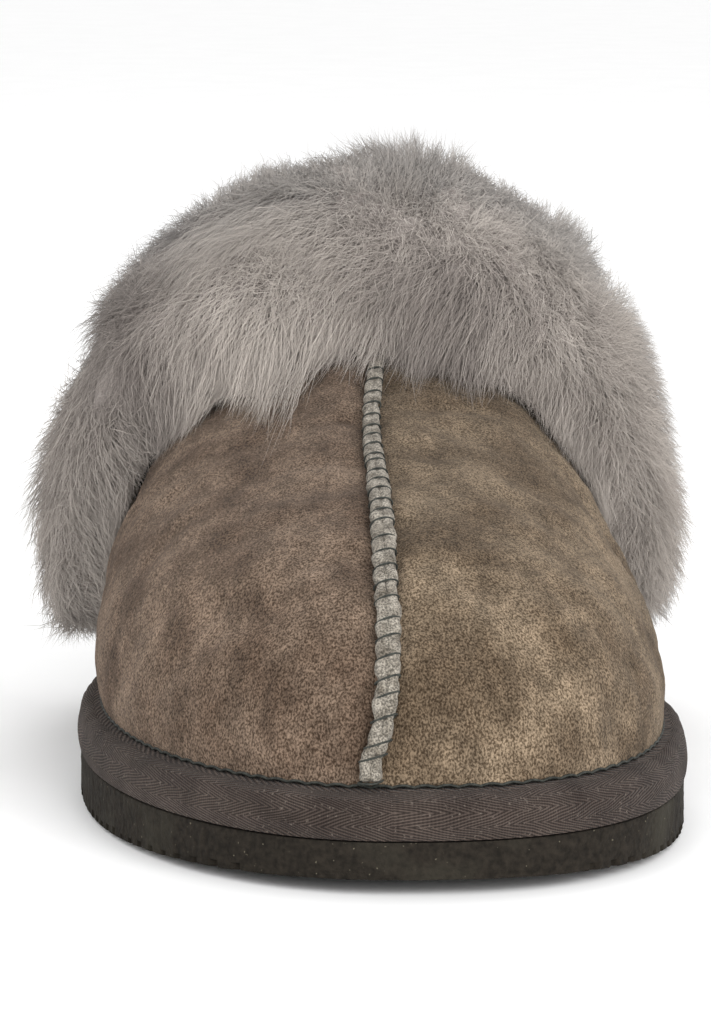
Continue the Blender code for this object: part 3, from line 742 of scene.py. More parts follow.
def hide_face(side, depth):
    """One face of a half of the upper, as a function of its two shares, at a depth below the suede."""

    def place(u, v):
        across = side * u**FINER_AT_SEAM
        along = v**FINER_AT_TOE
        flat = vamp_point(across, along, 0.0, side)
        from_seam = np.abs(flat[:, 0] - seam_point(along, 0.0, 0.0)[:, 0])
        puff = SEAM_PUFF * np.exp(-(((from_seam - PUFF_PLACE) / PUFF_WIDTH) ** 2))
        dip = SEAM_DIP * np.exp(-((from_seam / DIP_WIDTH) ** 2))
        hills = HILLS * ripple(flat, HILL_SIZE, 31) + SMALL_HILLS * ripple(flat, SMALL_HILL_SIZE, 32)
        foot = ease((1 - u) / 0.08)
        outwards = (puff - dip + hills - crease_depth(flat, side)) * foot * ease(v / 0.15)
        return vamp_point(across, along, outwards - depth, side)

    return place


# %% Suede finish
def suede(name, dark, light):
    """Brushed suede: blotches, brush marks and flecks, and painted light that makes it paler low down."""
    finish, tree, shader = start_material(name, 0.98, sheen=0.05, specular=0.05)
    places = object_places(tree)
    blotches = tone(tree, places, 84.0, dark, light, 0.36, 0.64, 6.0)
    strokes = tone(tree, object_places(tree, (1.0, 0.6, 0.5)), 260.0, rgb(196, 196, 196), WHITE, 0.38, 0.62)
    stroked = blend(tree, "MULTIPLY", 0.6, blotches.outputs["Color"], strokes.outputs["Color"])
    marks = tone(tree, object_places(tree, (1.0, 1.0, 0.6)), 700.0, rgb(160, 160, 160), WHITE, 0.3, 0.65)
    brushed = blend(tree, "MULTIPLY", 0.45, stroked, marks.outputs["Color"])
    flecks = tone(tree, object_places(tree, (1.0, 1.0, 0.7)), 3400.0, rgb(138, 133, 128), WHITE, 0.38, 0.62)
    napped = blend(tree, "MULTIPLY", 1.0, brushed, flecks.outputs["Color"])
    # Painted light: the suede is painted paler low down and darker higher up, for the way the light falls on
    # it.
    split, paler = tree.nodes.new("ShaderNodeSeparateXYZ"), tree.nodes.new("ShaderNodeMapRange")
    tree.links.new(places, split.inputs["Vector"])
    tree.links.new(split.outputs["Z"], paler.inputs["Value"])
    for label, value in (("From Min", 0.018), ("From Max", 0.060), ("To Min", 1.15), ("To Max", 0.95)):
        paler.inputs[label].default_value = value
    painted_light_by_height = blend(tree, "MULTIPLY", 1.0, napped, paler.outputs["Result"])
    tree.links.new(painted_light_by_height, shader.inputs["Base Color"])
    height = node_math(tree, "MULTIPLY_ADD", marks.outputs["Mask"], 0.5, flecks.outputs["Mask"])
    bump(tree, shader, height, 0.5, 0.0003)
    return finish


HIDE_COLUMNS, HIDE_ROWS = 64, 130
# The inner half is painted a little lighter than the outer one: painted light on the side that faces the key
# lamp.
for side, name, dark, light in (
    (LATERAL, "lateral", rgb(118, 99, 84), rgb(156, 135, 117)),
    (MEDIAL, "medial", rgb(122, 105, 86), rgb(163, 144, 121)),
):
    hide_finish = suede(f"suede {name}", dark, light)
    hide_bm = closed_sheet(HIDE_COLUMNS, HIDE_ROWS, hide_face(side, 0.0), hide_face(side, HIDE_THICKNESS))
    finish_bmesh(f"suede_{name}", hide_bm, hide_finish, [f"vamp_{name}_hide"], sharp=50)

# %% [markdown]
# ## Centre seam
# The two halves meet with their raw edges turned out, and one dark thread whips over both. Each raw edge is a
# soft roll that swells between two stitches and is pinched under each. The rolls are tubes on the seam's own
# line, so we make a grid round each one. The thread is a true helix round the pair, as whip stitching is: it
# shows as slanted bars on top, and the rest of it lies inside the hide.

# %% Where the stitches fall
SEAM_START, SEAM_END = 0.005, 0.832
# The stitches lie closer at the toe than at the throat, and none is quite in its place.
STITCH_PITCH, STITCH_SPREAD, STITCH_SLACK = 3.9 * MM, 0.22, 0.24
fine = np.linspace(SEAM_START, SEAM_END, 600)
fine_points = seam_point(fine, 0.0, 0.0)
travelled = np.concatenate([[0.0], np.cumsum(np.linalg.norm(np.diff(fine_points, axis=0), axis=1))])
SEAM_LENGTH = travelled[-1]
STITCHES = round(SEAM_LENGTH / STITCH_PITCH)
stitch_draw = np.random.default_rng(8)
slack = stitch_draw.uniform(-STITCH_SLACK, STITCH_SLACK, STITCHES + 1)
stitch_shares = (np.arange(STITCHES + 1) + slack) / STITCHES
stitch_places = SEAM_LENGTH * stitch_shares * (1 - STITCH_SPREAD + STITCH_SPREAD * stitch_shares)
print("seam", round(SEAM_LENGTH / MM, 1), "mm with", STITCHES, "stitches")


def seam_share(distance):
    """The along value at a distance from the seam's toe end."""
    return np.interp(distance, travelled, fine)


# %% Raw edges
EDGE_RADIUS, EDGE_PINCH, EDGE_SLIMMER, EDGE_SIDES, EDGE_STEPS = 1.18 * MM, 0.13, 0.27, 14, 10
EDGE_HEIGHT, EDGE_APART, EDGE_END = 0.75 * EDGE_RADIUS - 0.15 * MM, 0.62, 0.8 * MM
EDGE_LUMPS, EDGE_LUMP_SIZE = 0.13, 5 * MM


def edge_radius(distance):
    """Fuller low on the seam than near the throat, and pinched at every stitch."""
    phase = np.interp(distance, stitch_places, np.arange(STITCHES + 1))
    swell = 1 - EDGE_PINCH * np.abs(np.cos(math.pi * phase)) ** 6
    slim = 1 - EDGE_SLIMMER * ease((distance / SEAM_LENGTH - 0.40) / 0.4)
    return EDGE_RADIUS * swell * slim


def place_edge(side):
    """The function that carries a grid round one raw edge."""

    def place(u, v):
        distance = v * SEAM_LENGTH
        along = seam_share(distance)
        end = np.minimum(1.0, np.minimum(v, 1 - v) * SEAM_LENGTH / EDGE_END)
        radius = edge_radius(distance) * np.sqrt(np.maximum(1 - (1 - end) ** 2, 0.0))
        turn = 2 * math.pi * u
        bulge = 1 + EDGE_LUMPS * ripple(seam_point(along, 0.0, 0.0), EDGE_LUMP_SIZE, 40 + side)
        sideways = side * EDGE_APART * edge_radius(distance) + radius * bulge * np.cos(turn)
        return seam_point(along, sideways, EDGE_HEIGHT + radius * np.sin(turn))

    return place


edge_finish, tree, shader = start_material("raw hide edge", 0.95, sheen=0.1, specular=0.08)
places = object_places(tree)
edge_tones = tone(tree, places, 520.0, rgb(120, 112, 100), rgb(184, 176, 163), 0.32, 0.66, 4.0)
edge_fuzz = tone(tree, places, 3200.0, rgb(150, 150, 150), WHITE, 0.38, 0.62)
edge_colour = blend(tree, "MULTIPLY", 1.0, edge_tones.outputs["Color"], edge_fuzz.outputs["Color"])
tree.links.new(edge_colour, shader.inputs["Base Color"])
bump(tree, shader, edge_fuzz.outputs["Mask"], 0.6, 0.0003)
for side, name in ((LATERAL, "lateral"), (MEDIAL, "medial")):
    edge_bm = mapped_grid(EDGE_SIDES, STITCHES * EDGE_STEPS, place_edge(side))
    finish_bmesh(f"raw_edge_{name}", edge_bm, edge_finish, [f"vamp_{name}_seam_edge"])

# %% Threads
thread_finish = grained("waxed thread", 0.7, 1500.0, rgb(36, 38, 35), rgb(62, 64, 59), relief=(0.5, 0.2 * MM))


def sew(name, points, radius, stands_for, closed=False):
    """A thread: a smooth curve with a round bevel, made into a mesh."""
    curve = bpy.data.curves.new(name, "CURVE")
    curve.dimensions = "3D"
    curve.bevel_depth = radius
    curve.bevel_resolution = 1
    curve.use_fill_caps = True
    spline = curve.splines.new("POLY")
    spline.points.add(len(points) - 1)
    spline.points.foreach_set("co", np.column_stack([points, np.ones(len(points))]).ravel())
    spline.use_cyclic_u = closed
    guide = bpy.data.objects.new(name, curve)
    bpy.context.scene.collection.objects.link(guide)
    bpy.context.view_layer.update()
    mesh = bpy.data.meshes.new_from_object(guide.evaluated_get(bpy.context.evaluated_depsgraph_get()))
    bpy.data.objects.remove(guide)
    mesh.name = name
    bm = bmesh.new()
    bm.from_mesh(mesh)
    bpy.data.meshes.remove(mesh)
    return finish_bmesh(name, bm, thread_finish, stands_for, sharp=60)


# %% The whip stitches
THREAD_RADIUS, WHIP_STEPS, WHIP_SLANT, WHIP_REACH = 0.17 * MM, 18, 0.17, 1.66
whip_turn = np.linspace(0.0, STITCHES, STITCHES * WHIP_STEPS)
whip_angle = 2 * math.pi * whip_turn
# The bar over the top takes the first half of each turn, with a slant, and the return is inside the hide.
whip_slant = WHIP_SLANT * SEAM_LENGTH / STITCHES * np.cos(whip_angle)
whip_place = np.interp(np.floor(whip_turn) + 0.25, np.arange(STITCHES + 1) + 0.25, stitch_places)
whip_next = np.interp(np.floor(whip_turn) + 1.25, np.arange(STITCHES + 1) + 0.25, stitch_places)
whip_step = ease((whip_turn % 1.0 - 0.55) / 0.4)
whip_distance = np.clip(whip_place + (whip_next - whip_place) * whip_step + whip_slant, 0.0, SEAM_LENGTH)
whip_radius = edge_radius(whip_place)
whip_points = seam_point(
    seam_share(whip_distance),
    (WHIP_REACH * whip_radius + THREAD_RADIUS) * np.cos(whip_angle),
    EDGE_HEIGHT + (whip_radius + 0.9 * THREAD_RADIUS) * np.sin(whip_angle),
)
sew("seam_whipping", whip_points, THREAD_RADIUS, ["seam_thread"])

# %% The stitches along the feather line
SCALLOP_PITCH, SCALLOP, FEATHER_POINTS, FEATHER_RADIUS = 3.4 * MM, 0.35 * MM, 1200, 0.24 * MM
feather_turn = np.linspace(0, 1, FEATHER_POINTS, endpoint=False)
feather_flat = outline(feather_turn, FEATHER_INSET - 0.25 * MM, TAPE_TOP + 0.1 * MM)
feather_run = np.concatenate([[0.0], np.cumsum(np.linalg.norm(np.diff(feather_flat, axis=0), axis=1))])
feather_flat[:, 2] += SCALLOP * np.abs(np.sin(math.pi * feather_run / SCALLOP_PITCH))
sew("feather_stitching", feather_flat, FEATHER_RADIUS, ["feather_thread"], closed=True)

# %% [markdown]
# ## Wool, fibre by fibre
# Wool has to have a real outline, so it can't be a bump on a smooth body. Hair curves would be quick, but
# they aren't a mesh, and this slipper is handed on as one. So each fibre here is a thin closed spike with
# three sides, swept along its own bent path. No operator grows a hundred thousand of those, so the fibres
# are laid out with arrays, all at once: roots on an under-wool body, tips on the outer form, and a bend
# between. What makes it look like wool is what happens to the tips. Neighbours are drawn together into
# tufts, tufts into locks, each lock has its own length and tone, and every fibre has its own kinks.
# Each fibre's normals lean towards the way the fleece faces, which shades the mass softly, as wool is that
# lets light through, instead of as a heap of hard little rods.


# %% The paths of the fibres
SOFT_NORMAL, FIBRE_TAPER, FIBRE_UNEVEN = 0.72, 0.62, 0.25


def fibre_paths(roots, bends, tips, steps, kink, draw):
    """The places of each fibre's rings and apex: a bent path whose kinks grow towards the tip."""
    count, rings = len(roots), len(steps) - 1
    path = np.empty((count, rings + 1, 3))
    for ring, step in enumerate(steps):
        path[:, ring] = (1 - step) ** 2 * roots + 2 * step * (1 - step) * bends + step**2 * tips
    path[:, 1:] += draw.normal(0, kink, (count, rings, 3)) * (0.35 + 0.65 * steps[None, 1:, None])
    return path


# %% The skin round the paths
def fibre_skins(path, steps, outs, thickness, draw):
    """Corners and normals of every fibre: three corners at each ring, then the apex."""
    count, rings = len(path), len(steps) - 1
    way = unit(path[:, -1] - path[:, 0])
    across = unit(np.cross(way, draw.normal(size=(count, 3))))
    other = np.cross(way, across)
    width = thickness * draw.uniform(1 - FIBRE_UNEVEN, 1 + FIBRE_UNEVEN, count)
    verts = np.empty((count, 3 * rings + 1, 3))
    normals = np.empty_like(verts)
    for ring in range(rings):
        radius = (width * (1 - FIBRE_TAPER * steps[ring]) / 2)[:, None]
        for corner in range(3):
            angle = 2 * math.pi * corner / 3
            spoke = math.cos(angle) * across + math.sin(angle) * other
            verts[:, 3 * ring + corner] = path[:, ring] + radius * spoke
            normals[:, 3 * ring + corner] = SOFT_NORMAL * outs + (1 - SOFT_NORMAL) * spoke
    verts[:, -1] = path[:, -1]
    normals[:, -1] = SOFT_NORMAL * outs + (1 - SOFT_NORMAL) * way
    return verts, unit(normals)


def fibre_faces(rings):
    """The faces of one fibre: quads up its three sides, a pointed end, and a closed root."""
    quads = [
        [low + corner, low + (corner + 1) % 3, low + 3 + (corner + 1) % 3, low + 3 + corner]
        for low in range(0, 3 * (rings - 1), 3)
        for corner in range(3)
    ]
    last, apex = 3 * (rings - 1), 3 * rings
    points = [[last + corner, last + (corner + 1) % 3, apex] for corner in range(3)]
    return quads + points + [[2, 1, 0]]


# %% One piece of wool
# The map "OFBake" lays each fibre as a narrow column: across the map runs the shade, and up the map the way
# from root to tip. Fibres of one shade share a column, because they look alike.
MAP_MARGIN, COLUMN_WIDTH = 0.02, 0.006


def store(mesh, name, values):
    """Writes one number per vertex as a named attribute."""
    layer = mesh.attributes.new(name, "FLOAT", "POINT")
    layer.data.foreach_set("value", values.astype(np.float32))


def grow(name, finish, roots, bends, tips, outs, shades, thickness, kink, seed, bands=2):
    """One piece of wool. Each fibre follows a bent path from its root to its tip."""
    draw = np.random.default_rng(seed)
    count, rings = len(roots), bands + 1
    corners = 3 * rings + 1
    steps = np.linspace(0, 1, rings + 1)
    path = fibre_paths(roots, bends, tips, steps, kink, draw)
    verts, normals = fibre_skins(path, steps, outs, thickness, draw)
    faces = fibre_faces(rings)
    one = np.array([corner for face in faces for corner in face])
    loops = (one[None, :] + corners * np.arange(count)[:, None]).ravel()
    totals = np.tile([len(face) for face in faces], count)
    mesh = bpy.data.meshes.new(name)
    mesh.vertices.add(count * corners)
    mesh.vertices.foreach_set("co", verts.astype(np.float32).ravel())
    mesh.loops.add(len(loops))
    mesh.loops.foreach_set("vertex_index", loops.astype(np.int32))
    mesh.polygons.add(len(totals))
    mesh.polygons.foreach_set("loop_start", np.concatenate([[0], np.cumsum(totals)[:-1]]).astype(np.int32))
    mesh.update(calc_edges=True)
    reach = np.concatenate([np.repeat(steps[:rings], 3), [1.0]])
    column = np.concatenate([np.tile([-COLUMN_WIDTH, 0.0, COLUMN_WIDTH], rings), [0.0]])
    shades = np.clip(shades, 0.0, 1.0)
    store(mesh, "reach", np.tile(reach, count))
    store(mesh, "shade", np.repeat(shades, corners))
    room = 1 - 2 * MAP_MARGIN
    across_map = MAP_MARGIN + room * np.repeat(shades, len(one)) + np.tile(column[one], count)
    along_map = MAP_MARGIN + room * np.tile(reach[one], count)
    bake_map = mesh.uv_layers.new(name="OFBake")
    bake_map.uv.foreach_set("vector", np.column_stack([across_map, along_map]).astype(np.float32).ravel())
    mesh.shade_smooth()
    mesh.normals_split_custom_set_from_vertices(normals.reshape(-1, 3).astype(np.float32))
    print(count, "fibres:")
    return add_piece(name, mesh, finish)


# %% Drawing neighbours together
def gather(spots, count, seed):
    """For each spot on a flat map, the number of the nearest of a few spots picked as tuft centres."""
    draw = np.random.default_rng(seed)
    chosen = draw.choice(len(spots), count, replace=False)
    tree = kdtree.KDTree(count)
    for number, pick in enumerate(chosen):
        tree.insert((*spots[pick], 0.0), number)
    tree.balance()
    nearest = np.array([tree.find((*spot, 0.0))[1] for spot in spots])
    return chosen[nearest], nearest


def pull_together(tips, spots, count, pull, seed):
    """Moves the tips of each tuft towards its centre's, and gives every fibre the number of its tuft."""
    tuft, tuft_number = gather(spots, count, seed)
    tips += pull * (tips[tuft] - tips)
    return tuft_number


def tufted_shades(draw, middle, tuft_number, tufts, tuft_spread=0.12):
    """A shade for every fibre: its tuft's own, and a little of its own."""
    return middle + draw.normal(0, tuft_spread, tufts)[tuft_number] + draw.normal(0, 0.12, len(tuft_number))


# %% Wool finish
def wool(name, deep, pale, root_share, sheen):
    """Wool that is deeper at the root and paler at the tip, with its own tone on every fibre."""
    finish, tree, shader = start_material(name, 0.85, sheen=sheen, specular=0.12)
    shade, reach = tree.nodes.new("ShaderNodeAttribute"), tree.nodes.new("ShaderNodeAttribute")
    shade.attribute_name, reach.attribute_name = "shade", "reach"
    tinted = blend(tree, "MIX", shade.outputs["Fac"], deep, pale)
    depth = tree.nodes.new("ShaderNodeMapRange")
    depth.inputs["To Min"].default_value = root_share
    depth.inputs["To Max"].default_value = 1.0
    depth.inputs["From Max"].default_value = 0.8
    tree.links.new(reach.outputs["Fac"], depth.inputs["Value"])
    toned = blend(tree, "MULTIPLY", 1.0, tinted, depth.outputs["Result"])
    tree.links.new(toned, shader.inputs["Base Color"])
    return finish


def under_wool(name, dark, light):
    """The dense wool below the fibres, painted in the tones of wool in shade."""
    return grained(name, 0.95, 700.0, dark, light, (0.8, 0.8 * MM), (0.3, 0.7, 3.0), sheen=0.1, specular=0.05)


cuff_wool = wool("cuff wool", rgb(132, 124, 119), rgb(208, 199, 190), 0.82, 0.18)
cuff_under = under_wool("cuff under-wool", rgb(128, 120, 116), rgb(160, 152, 146))

# %% [markdown]
# ## The cuff's form
# The cuff is a band of long-wool sheepskin folded out over the throat. In section its wool is a D that
# bulges off the upper, and along its length it thins at both feet and droops with its own weight. Over the
# centre seam its front draws back a little. The same formula gives the under-wool body and the surface that
# the tips reach, at two shares of the full depth.

# %% The cuff's surface
PILE_FRONT, PILE_BACK, PILE_REACH = 0.795, 1.075, 0.975
PILE_LENGTH = {LATERAL: 21.5 * MM, MEDIAL: 18.0 * MM}
PILE_LENGTH_TOP, PILE_FULL = 17.8 * MM, 0.85
PILE_DROOP, DROOP_START, DROOP_RUN, PILE_BASE = 14 * MM, 0.45, 0.5, 2.3 * MM
END_BLUNTNESS, FRONT_ROUNDNESS = 14, 0.8
SEAM_NOTCH, NOTCH_PLACE, NOTCH_WIDTH = 0.22, -0.03, 0.06  # the wool draws back over the centre seam


def bell(values, middle, width):
    """A smooth bell: 1 at the middle, and fading within a width on both sides."""
    return np.exp(-(((values - middle) / width) ** 2))


def cuff_point(end, roll, share, extra=0.0):
    """A point of the cuff: end from -1 to 1 along it, roll from 0 in front to 1 behind, and a depth share."""
    end = np.clip(end, -1.0, 1.0)
    across = end * PILE_REACH
    fullness = by_side(across, PILE_LENGTH)
    length = PILE_LENGTH_TOP + (fullness - PILE_LENGTH_TOP) * ease(np.abs(across) / PILE_FULL)
    taper = np.sqrt(np.maximum(1 - np.abs(end) ** END_BLUNTNESS, 0.0))
    turn = math.pi * (1 - roll)
    middle, half = (PILE_FRONT + PILE_BACK) / 2, (PILE_BACK - PILE_FRONT) / 2
    notch = 1 - SEAM_NOTCH * bell(end, NOTCH_PLACE, NOTCH_WIDTH) * (turn > math.pi / 2)
    along = middle + half * (0.35 + 0.65 * share) * np.cos(turn) * taper * notch
    rise = np.maximum(np.sin(np.clip(turn, 0, math.pi)), 0.0) ** FRONT_ROUNDNESS * taper
    outwards = PILE_BASE + length * rise * share + extra
    point = vamp_point(across, along, outwards)
    point[..., 2] -= PILE_DROOP * rise * share * ease((np.abs(end) - DROOP_START) / DROOP_RUN)
    return point


UNDER_SHARE = 0.78
under_bm = bmesh.new()
bmesh.ops.create_uvsphere(under_bm, u_segments=40, v_segments=110, radius=1.0)
spots = np.array([vertex.co[:] for vertex in under_bm.verts])
turned = np.arctan2(spots[:, 1], spots[:, 0])
under_roll = np.where(turned >= 0, 1 - turned / math.pi, 0.5 - 0.5 * np.cos(turned))
hills = 0.7 * MM * ripple(cuff_point(spots[:, 2], under_roll, UNDER_SHARE), 9 * MM, 51) * (turned > 0)
under_points = cuff_point(spots[:, 2], under_roll, np.where(turned >= 0, UNDER_SHARE, 0.0), hills)
for vertex, point in zip(under_bm.verts, under_points, strict=True):
    vertex.co = point
finish_bmesh("cuff_under_wool", under_bm, cuff_under, ["cuff_pile"], sharp=180)

# %% [markdown]
# ## The cuff's long wool
# The wool has a nap: it is combed forward and down on the front, stands up along the top, and falls back
# into the throat behind. Beside the seam one thick pale lock sweeps outwards over the suede, and low on both
# sides the wool is tousled. A few valleys part the mass, as real fleece parts along its locks. Tips that are
# combed past the front edge run on over the suede in uneven teeth, so the hem is never a smooth line.

# %% Valleys and lobes of the cuff
CUFF_MAP = (118 * MM, 62 * MM)
# Valleys in the wool: (end, roll) at both ends, half width and how much of the length is lost.
VALLEYS = [
    ((-0.52, 0.10), (-0.60, 0.70), 3.5 * MM, 0.20),
    ((0.42, 0.35), (0.56, 0.75), 3.0 * MM, 0.16),
    ((0.05, 0.05), (0.12, 0.45), 4.0 * MM, 0.14),
    ((-0.80, 0.2), (-0.74, 0.8), 3.0 * MM, 0.12),
    ((0.80, 0.2), (0.74, 0.8), 3.0 * MM, 0.12),
]

# Lobes of longer or shorter wool along the cuff: end, half width and the share of the length gained.
LOBES = [
    (-0.80, 0.18, -0.08),
    (-0.34, 0.20, -0.13),
    (0.03, 0.07, 0.05),
    (0.27, 0.13, -0.14),
    (0.62, 0.20, 0.27),
]


def valley_loss(end, roll):
    """The share of length lost in the valleys."""
    spot = np.column_stack([end * CUFF_MAP[0], roll * CUFF_MAP[1]])
    loss = np.zeros(len(end))
    for start, stop, wide, deep in VALLEYS:
        a, b = np.array(start) * CUFF_MAP, np.array(stop) * CUFF_MAP
        run = b - a
        share = np.clip((spot - a) @ run / (run @ run), 0, 1)
        gap = np.linalg.norm(spot - a - share[:, None] * run, axis=1)
        loss = np.maximum(loss, deep * np.exp(-((gap / wide) ** 2)))
    return loss


# %% The cuff's nap
LOCKS, TUFTS, FLYAWAYS = 900, 9000, 0.04
SWEEP_PLACE, SWEEP_WIDTH = -0.24, 0.20


def cuff_nap(end, roll, warp, draw):
    """Where combing puts each tip, and how far each fibre belongs to the swept lock."""
    count = len(end)
    forward = -0.05 - 0.10 * ease((0.30 - roll) / 0.30) + 0.22 * ease((roll - 0.62) / 0.30)
    sweep = bell(end, SWEEP_PLACE, SWEEP_WIDTH) * (1 - roll) ** 2
    sideways = 0.05 * end - 0.12 * sweep
    at_seam = bell(end, -0.015, 0.04) * ease((0.4 - roll) / 0.3)
    swirl = 0.03 * ripple(warp, 30 * MM, 63)
    # Low on both sides the wool is tousled instead of combed, which makes round lobes.
    tousle = 1 + 0.9 * ease((np.abs(end) - 0.40) / 0.25)
    tip_end = end + sideways + 0.6 * swirl + draw.normal(0, 0.026, count) * tousle
    tip_roll = roll + forward - 0.12 * sweep + 0.07 * at_seam + swirl + draw.normal(0, 0.060, count) * tousle
    return tip_end, tip_roll, sweep


def cuff_lengths(end, roll, warp, lock_number, tuft_number, draw):
    """The length of each fibre as a share of the cuff's depth. A few fly away past the rest."""
    length = 1.0 - valley_loss(end, roll) + 0.035 * ripple(warp, 22 * MM, 64)
    for place, wide, more in LOBES:
        length += more * bell(end, place, wide)
    length += draw.normal(0, 0.045, LOCKS)[lock_number] + draw.normal(0, 0.035, TUFTS)[tuft_number]
    uneven = draw.normal(0, 0.03, len(end))
    flies = draw.random(len(end)) < FLYAWAYS
    length += uneven + np.where(flies, draw.uniform(0.05, 0.2, len(end)), 0.0)
    return np.clip(length, 0.6, 1.25)


# %% Tips past the cuff's edges
HEM_LIFT, HEM_DROP, THROAT_EDGE, THROAT_LIFT = 1 * MM, 1.7 * MM, 0.98, -4 * MM
TOOTH_SIZE, FOOT_DROP = 8 * MM, 3 * MM


def past_the_edges(tip_end, tip_roll, sweep, draw):
    """How far a tip combed past the front runs on over the suede, and one past the back into the throat."""
    past = np.minimum(tip_roll, 0.0) - np.maximum(tip_roll - 1, 0.0)
    across = np.clip(tip_end, -1.0, 1.0) * PILE_REACH
    edge = np.where(tip_roll < 0.5, PILE_FRONT, THROAT_EDGE)
    lift = np.where(tip_roll < 0.5, HEM_LIFT, THROAT_LIFT)
    onward = unit(vamp_point(across, edge - 0.02, lift) - vamp_point(across, edge, lift))
    hem = cuff_point(tip_end, np.zeros(len(tip_end)), 1.0)
    tooth = np.clip(0.5 + 0.55 * ripple(hem, TOOTH_SIZE, 65), 0.0, 1.3)
    overhang = (0.05 + 0.75 * tooth) * draw.uniform(0.5, 1.3, len(tip_end)) * (1 + 0.9 * sweep)
    return onward * (-past * CUFF_MAP[1] * overhang)[:, None]


def cuff_shades(end, roll, sweep, lock_number, tuft_number, draw):
    """Tones by lock, by tuft and by fibre, with the swept lock paler and two places darker."""
    shades = 0.5 + draw.normal(0, 0.06, LOCKS)[lock_number] + draw.normal(0, 0.07, TUFTS)[tuft_number]
    shades += draw.normal(0, 0.15, len(end)) + 0.48 * sweep
    shades -= 0.42 * bell(end, 0.15, 0.11) * ease((0.42 - roll) / 0.2)
    shades -= 0.45 * bell(end, -0.45, 0.14)
    return shades


# %% Fibres of the cuff
LOCK_WARP, LOCK_WARP_SIZE = 1.5 * MM, 14 * MM
LOCK_PULL, TUFT_PULL, BEND_PULL = 0.12, 0.26, 0.35


def cuff_fibres(count, seed):
    """Roots, bends, tips, facing and shades of the cuff's fibres."""
    draw = np.random.default_rng(seed)
    end = draw.uniform(-0.995, 0.995, count)
    roll = draw.beta(0.9, 1.0, count)
    flat = np.column_stack([end * CUFF_MAP[0], roll * CUFF_MAP[1]])
    warp = cuff_point(end, roll, 1.0)
    nudge = np.column_stack([ripple(warp, LOCK_WARP_SIZE, number) for number in (61, 62)]) * LOCK_WARP
    lock, lock_number = gather(flat + nudge, LOCKS, seed + 1)
    tuft, tuft_number = gather(flat + 0.5 * nudge, TUFTS, seed + 2)
    tip_end, tip_roll, sweep = cuff_nap(end, roll, warp, draw)
    length = cuff_lengths(end, roll, warp, lock_number, tuft_number, draw)
    low_roll = np.clip(tip_roll, 0.0, 1.0)
    tips = cuff_point(tip_end, low_roll, length, -HEM_DROP * ease((0.08 - tip_roll) / 0.10))
    tips += past_the_edges(tip_end, tip_roll, sweep, draw)
    tips[:, 2] -= FOOT_DROP * bell(end, -0.95, 0.09)
    roots = cuff_point(end, roll, UNDER_SHARE * 0.94)
    pulled = tips + LOCK_PULL * (tips[lock] - tips) + TUFT_PULL * (tips[tuft] - tips)
    stand = cuff_point(end * 0.6 + tip_end * 0.4, np.clip(roll * 0.7 + low_roll * 0.3, 0, 1), 0.98)
    bends = 0.55 * stand + 0.45 * (roots + pulled) / 2
    bends += BEND_PULL * (bends[tuft] - bends)
    outs = unit(cuff_point(end, roll, 1.0) - cuff_point(end, roll, 0.2))
    return roots, bends, pulled, outs, cuff_shades(end, roll, sweep, lock_number, tuft_number, draw)


def grow_in_parts(name, finish, fibres, order_by, parts, thickness, kink, seed):
    """Grows a large patch as several pieces, cut where a measure of the fibres says."""
    order = np.argsort(order_by, kind="stable")
    for number, chosen in enumerate(np.array_split(order, parts)):
        part = [values[chosen] for values in fibres]
        grow(f"{name}_{number + 1}", finish, *part, thickness, kink, seed + number)


CUFF_PIECES = 6
CUFF_FIBRES = 12200 * CUFF_PIECES
fibres = cuff_fibres(CUFF_FIBRES, 71)
grow_in_parts("cuff_wool", cuff_wool, fibres, fibres[0][:, 0], CUFF_PIECES, 0.125 * MM, 0.60 * MM, 80)

# %% [markdown]
# ## The cuff's skin and its stitches
# Under the wool lies the skin that it grows from, folded out over the throat and stitched down along its
# front edge. Little of either shows, but the edge and the stitches can be glimpsed where the wool parts.

# %% Cuff skin and stitches
CUFF_FRONT, CUFF_REACH, CUFF_HIDE, SKIN_GAP = 0.84, 0.93, 1.3 * MM, 0.5 * MM
CUFF_THREAD_POINTS, CUFF_THREAD_RADIUS = 900, 0.22 * MM


def cuff_skin_face(outwards):
    """One face of the cuff's skin."""
    return lambda u, v: vamp_point(CUFF_REACH * (2 * u - 1), CUFF_FRONT + (1 - CUFF_FRONT) * v, outwards)


cuff_skin_bm = closed_sheet(90, 14, cuff_skin_face(SKIN_GAP + CUFF_HIDE), cuff_skin_face(SKIN_GAP))
finish_bmesh("cuff_skin", cuff_skin_bm, skin_finish, ["cuff_hide"], sharp=60)

cuff_turn = np.linspace(-CUFF_REACH, CUFF_REACH, CUFF_THREAD_POINTS)
cuff_wave = np.sin(np.arange(CUFF_THREAD_POINTS) * math.pi / 8)
cuff_rise = SKIN_GAP + 0.5 * MM * np.abs(cuff_wave)
cuff_line = vamp_point(cuff_turn, CUFF_FRONT - 0.008 + 0.006 * cuff_wave, cuff_rise)
sew("cuff_stitching", cuff_line, CUFF_THREAD_RADIUS, ["cuff_thread"])

# %% [markdown]
# ## Lining and footbed
# The same wool, clipped shorter, lines the throat and covers the footbed. Each has a body of dense
# under-wool, and fibres only where the open back lets one look in. The footbed's curls lean every way, as
# trodden wool does. Wool also grows over the throat's rim and over the footbed's, so that neither the hide's
# edge nor the side of the under-wool shows bare.

# %% Lining body
LINING_START, LINING_PILE = 0.40, 8.5 * MM
FOOTBED_TOP = pile_high[2]


def lining_limit(along):
    """How far down the side the lining reaches, as an across value: just over the footbed."""
    inset = HIDE_THICKNESS + SKIN_GAP + LINING_PILE
    y = vamp_point(np.zeros_like(along), along, -inset, MEDIAL)[:, 1] - TOE_Y
    share = (FOOTBED_TOP + SKIN_GAP - VAMP_BASE) / crown(y, inset)
    return np.arccos(np.minimum(share, 1.0) ** (SECTION_FULLNESS / 2)) / (math.pi / 2)


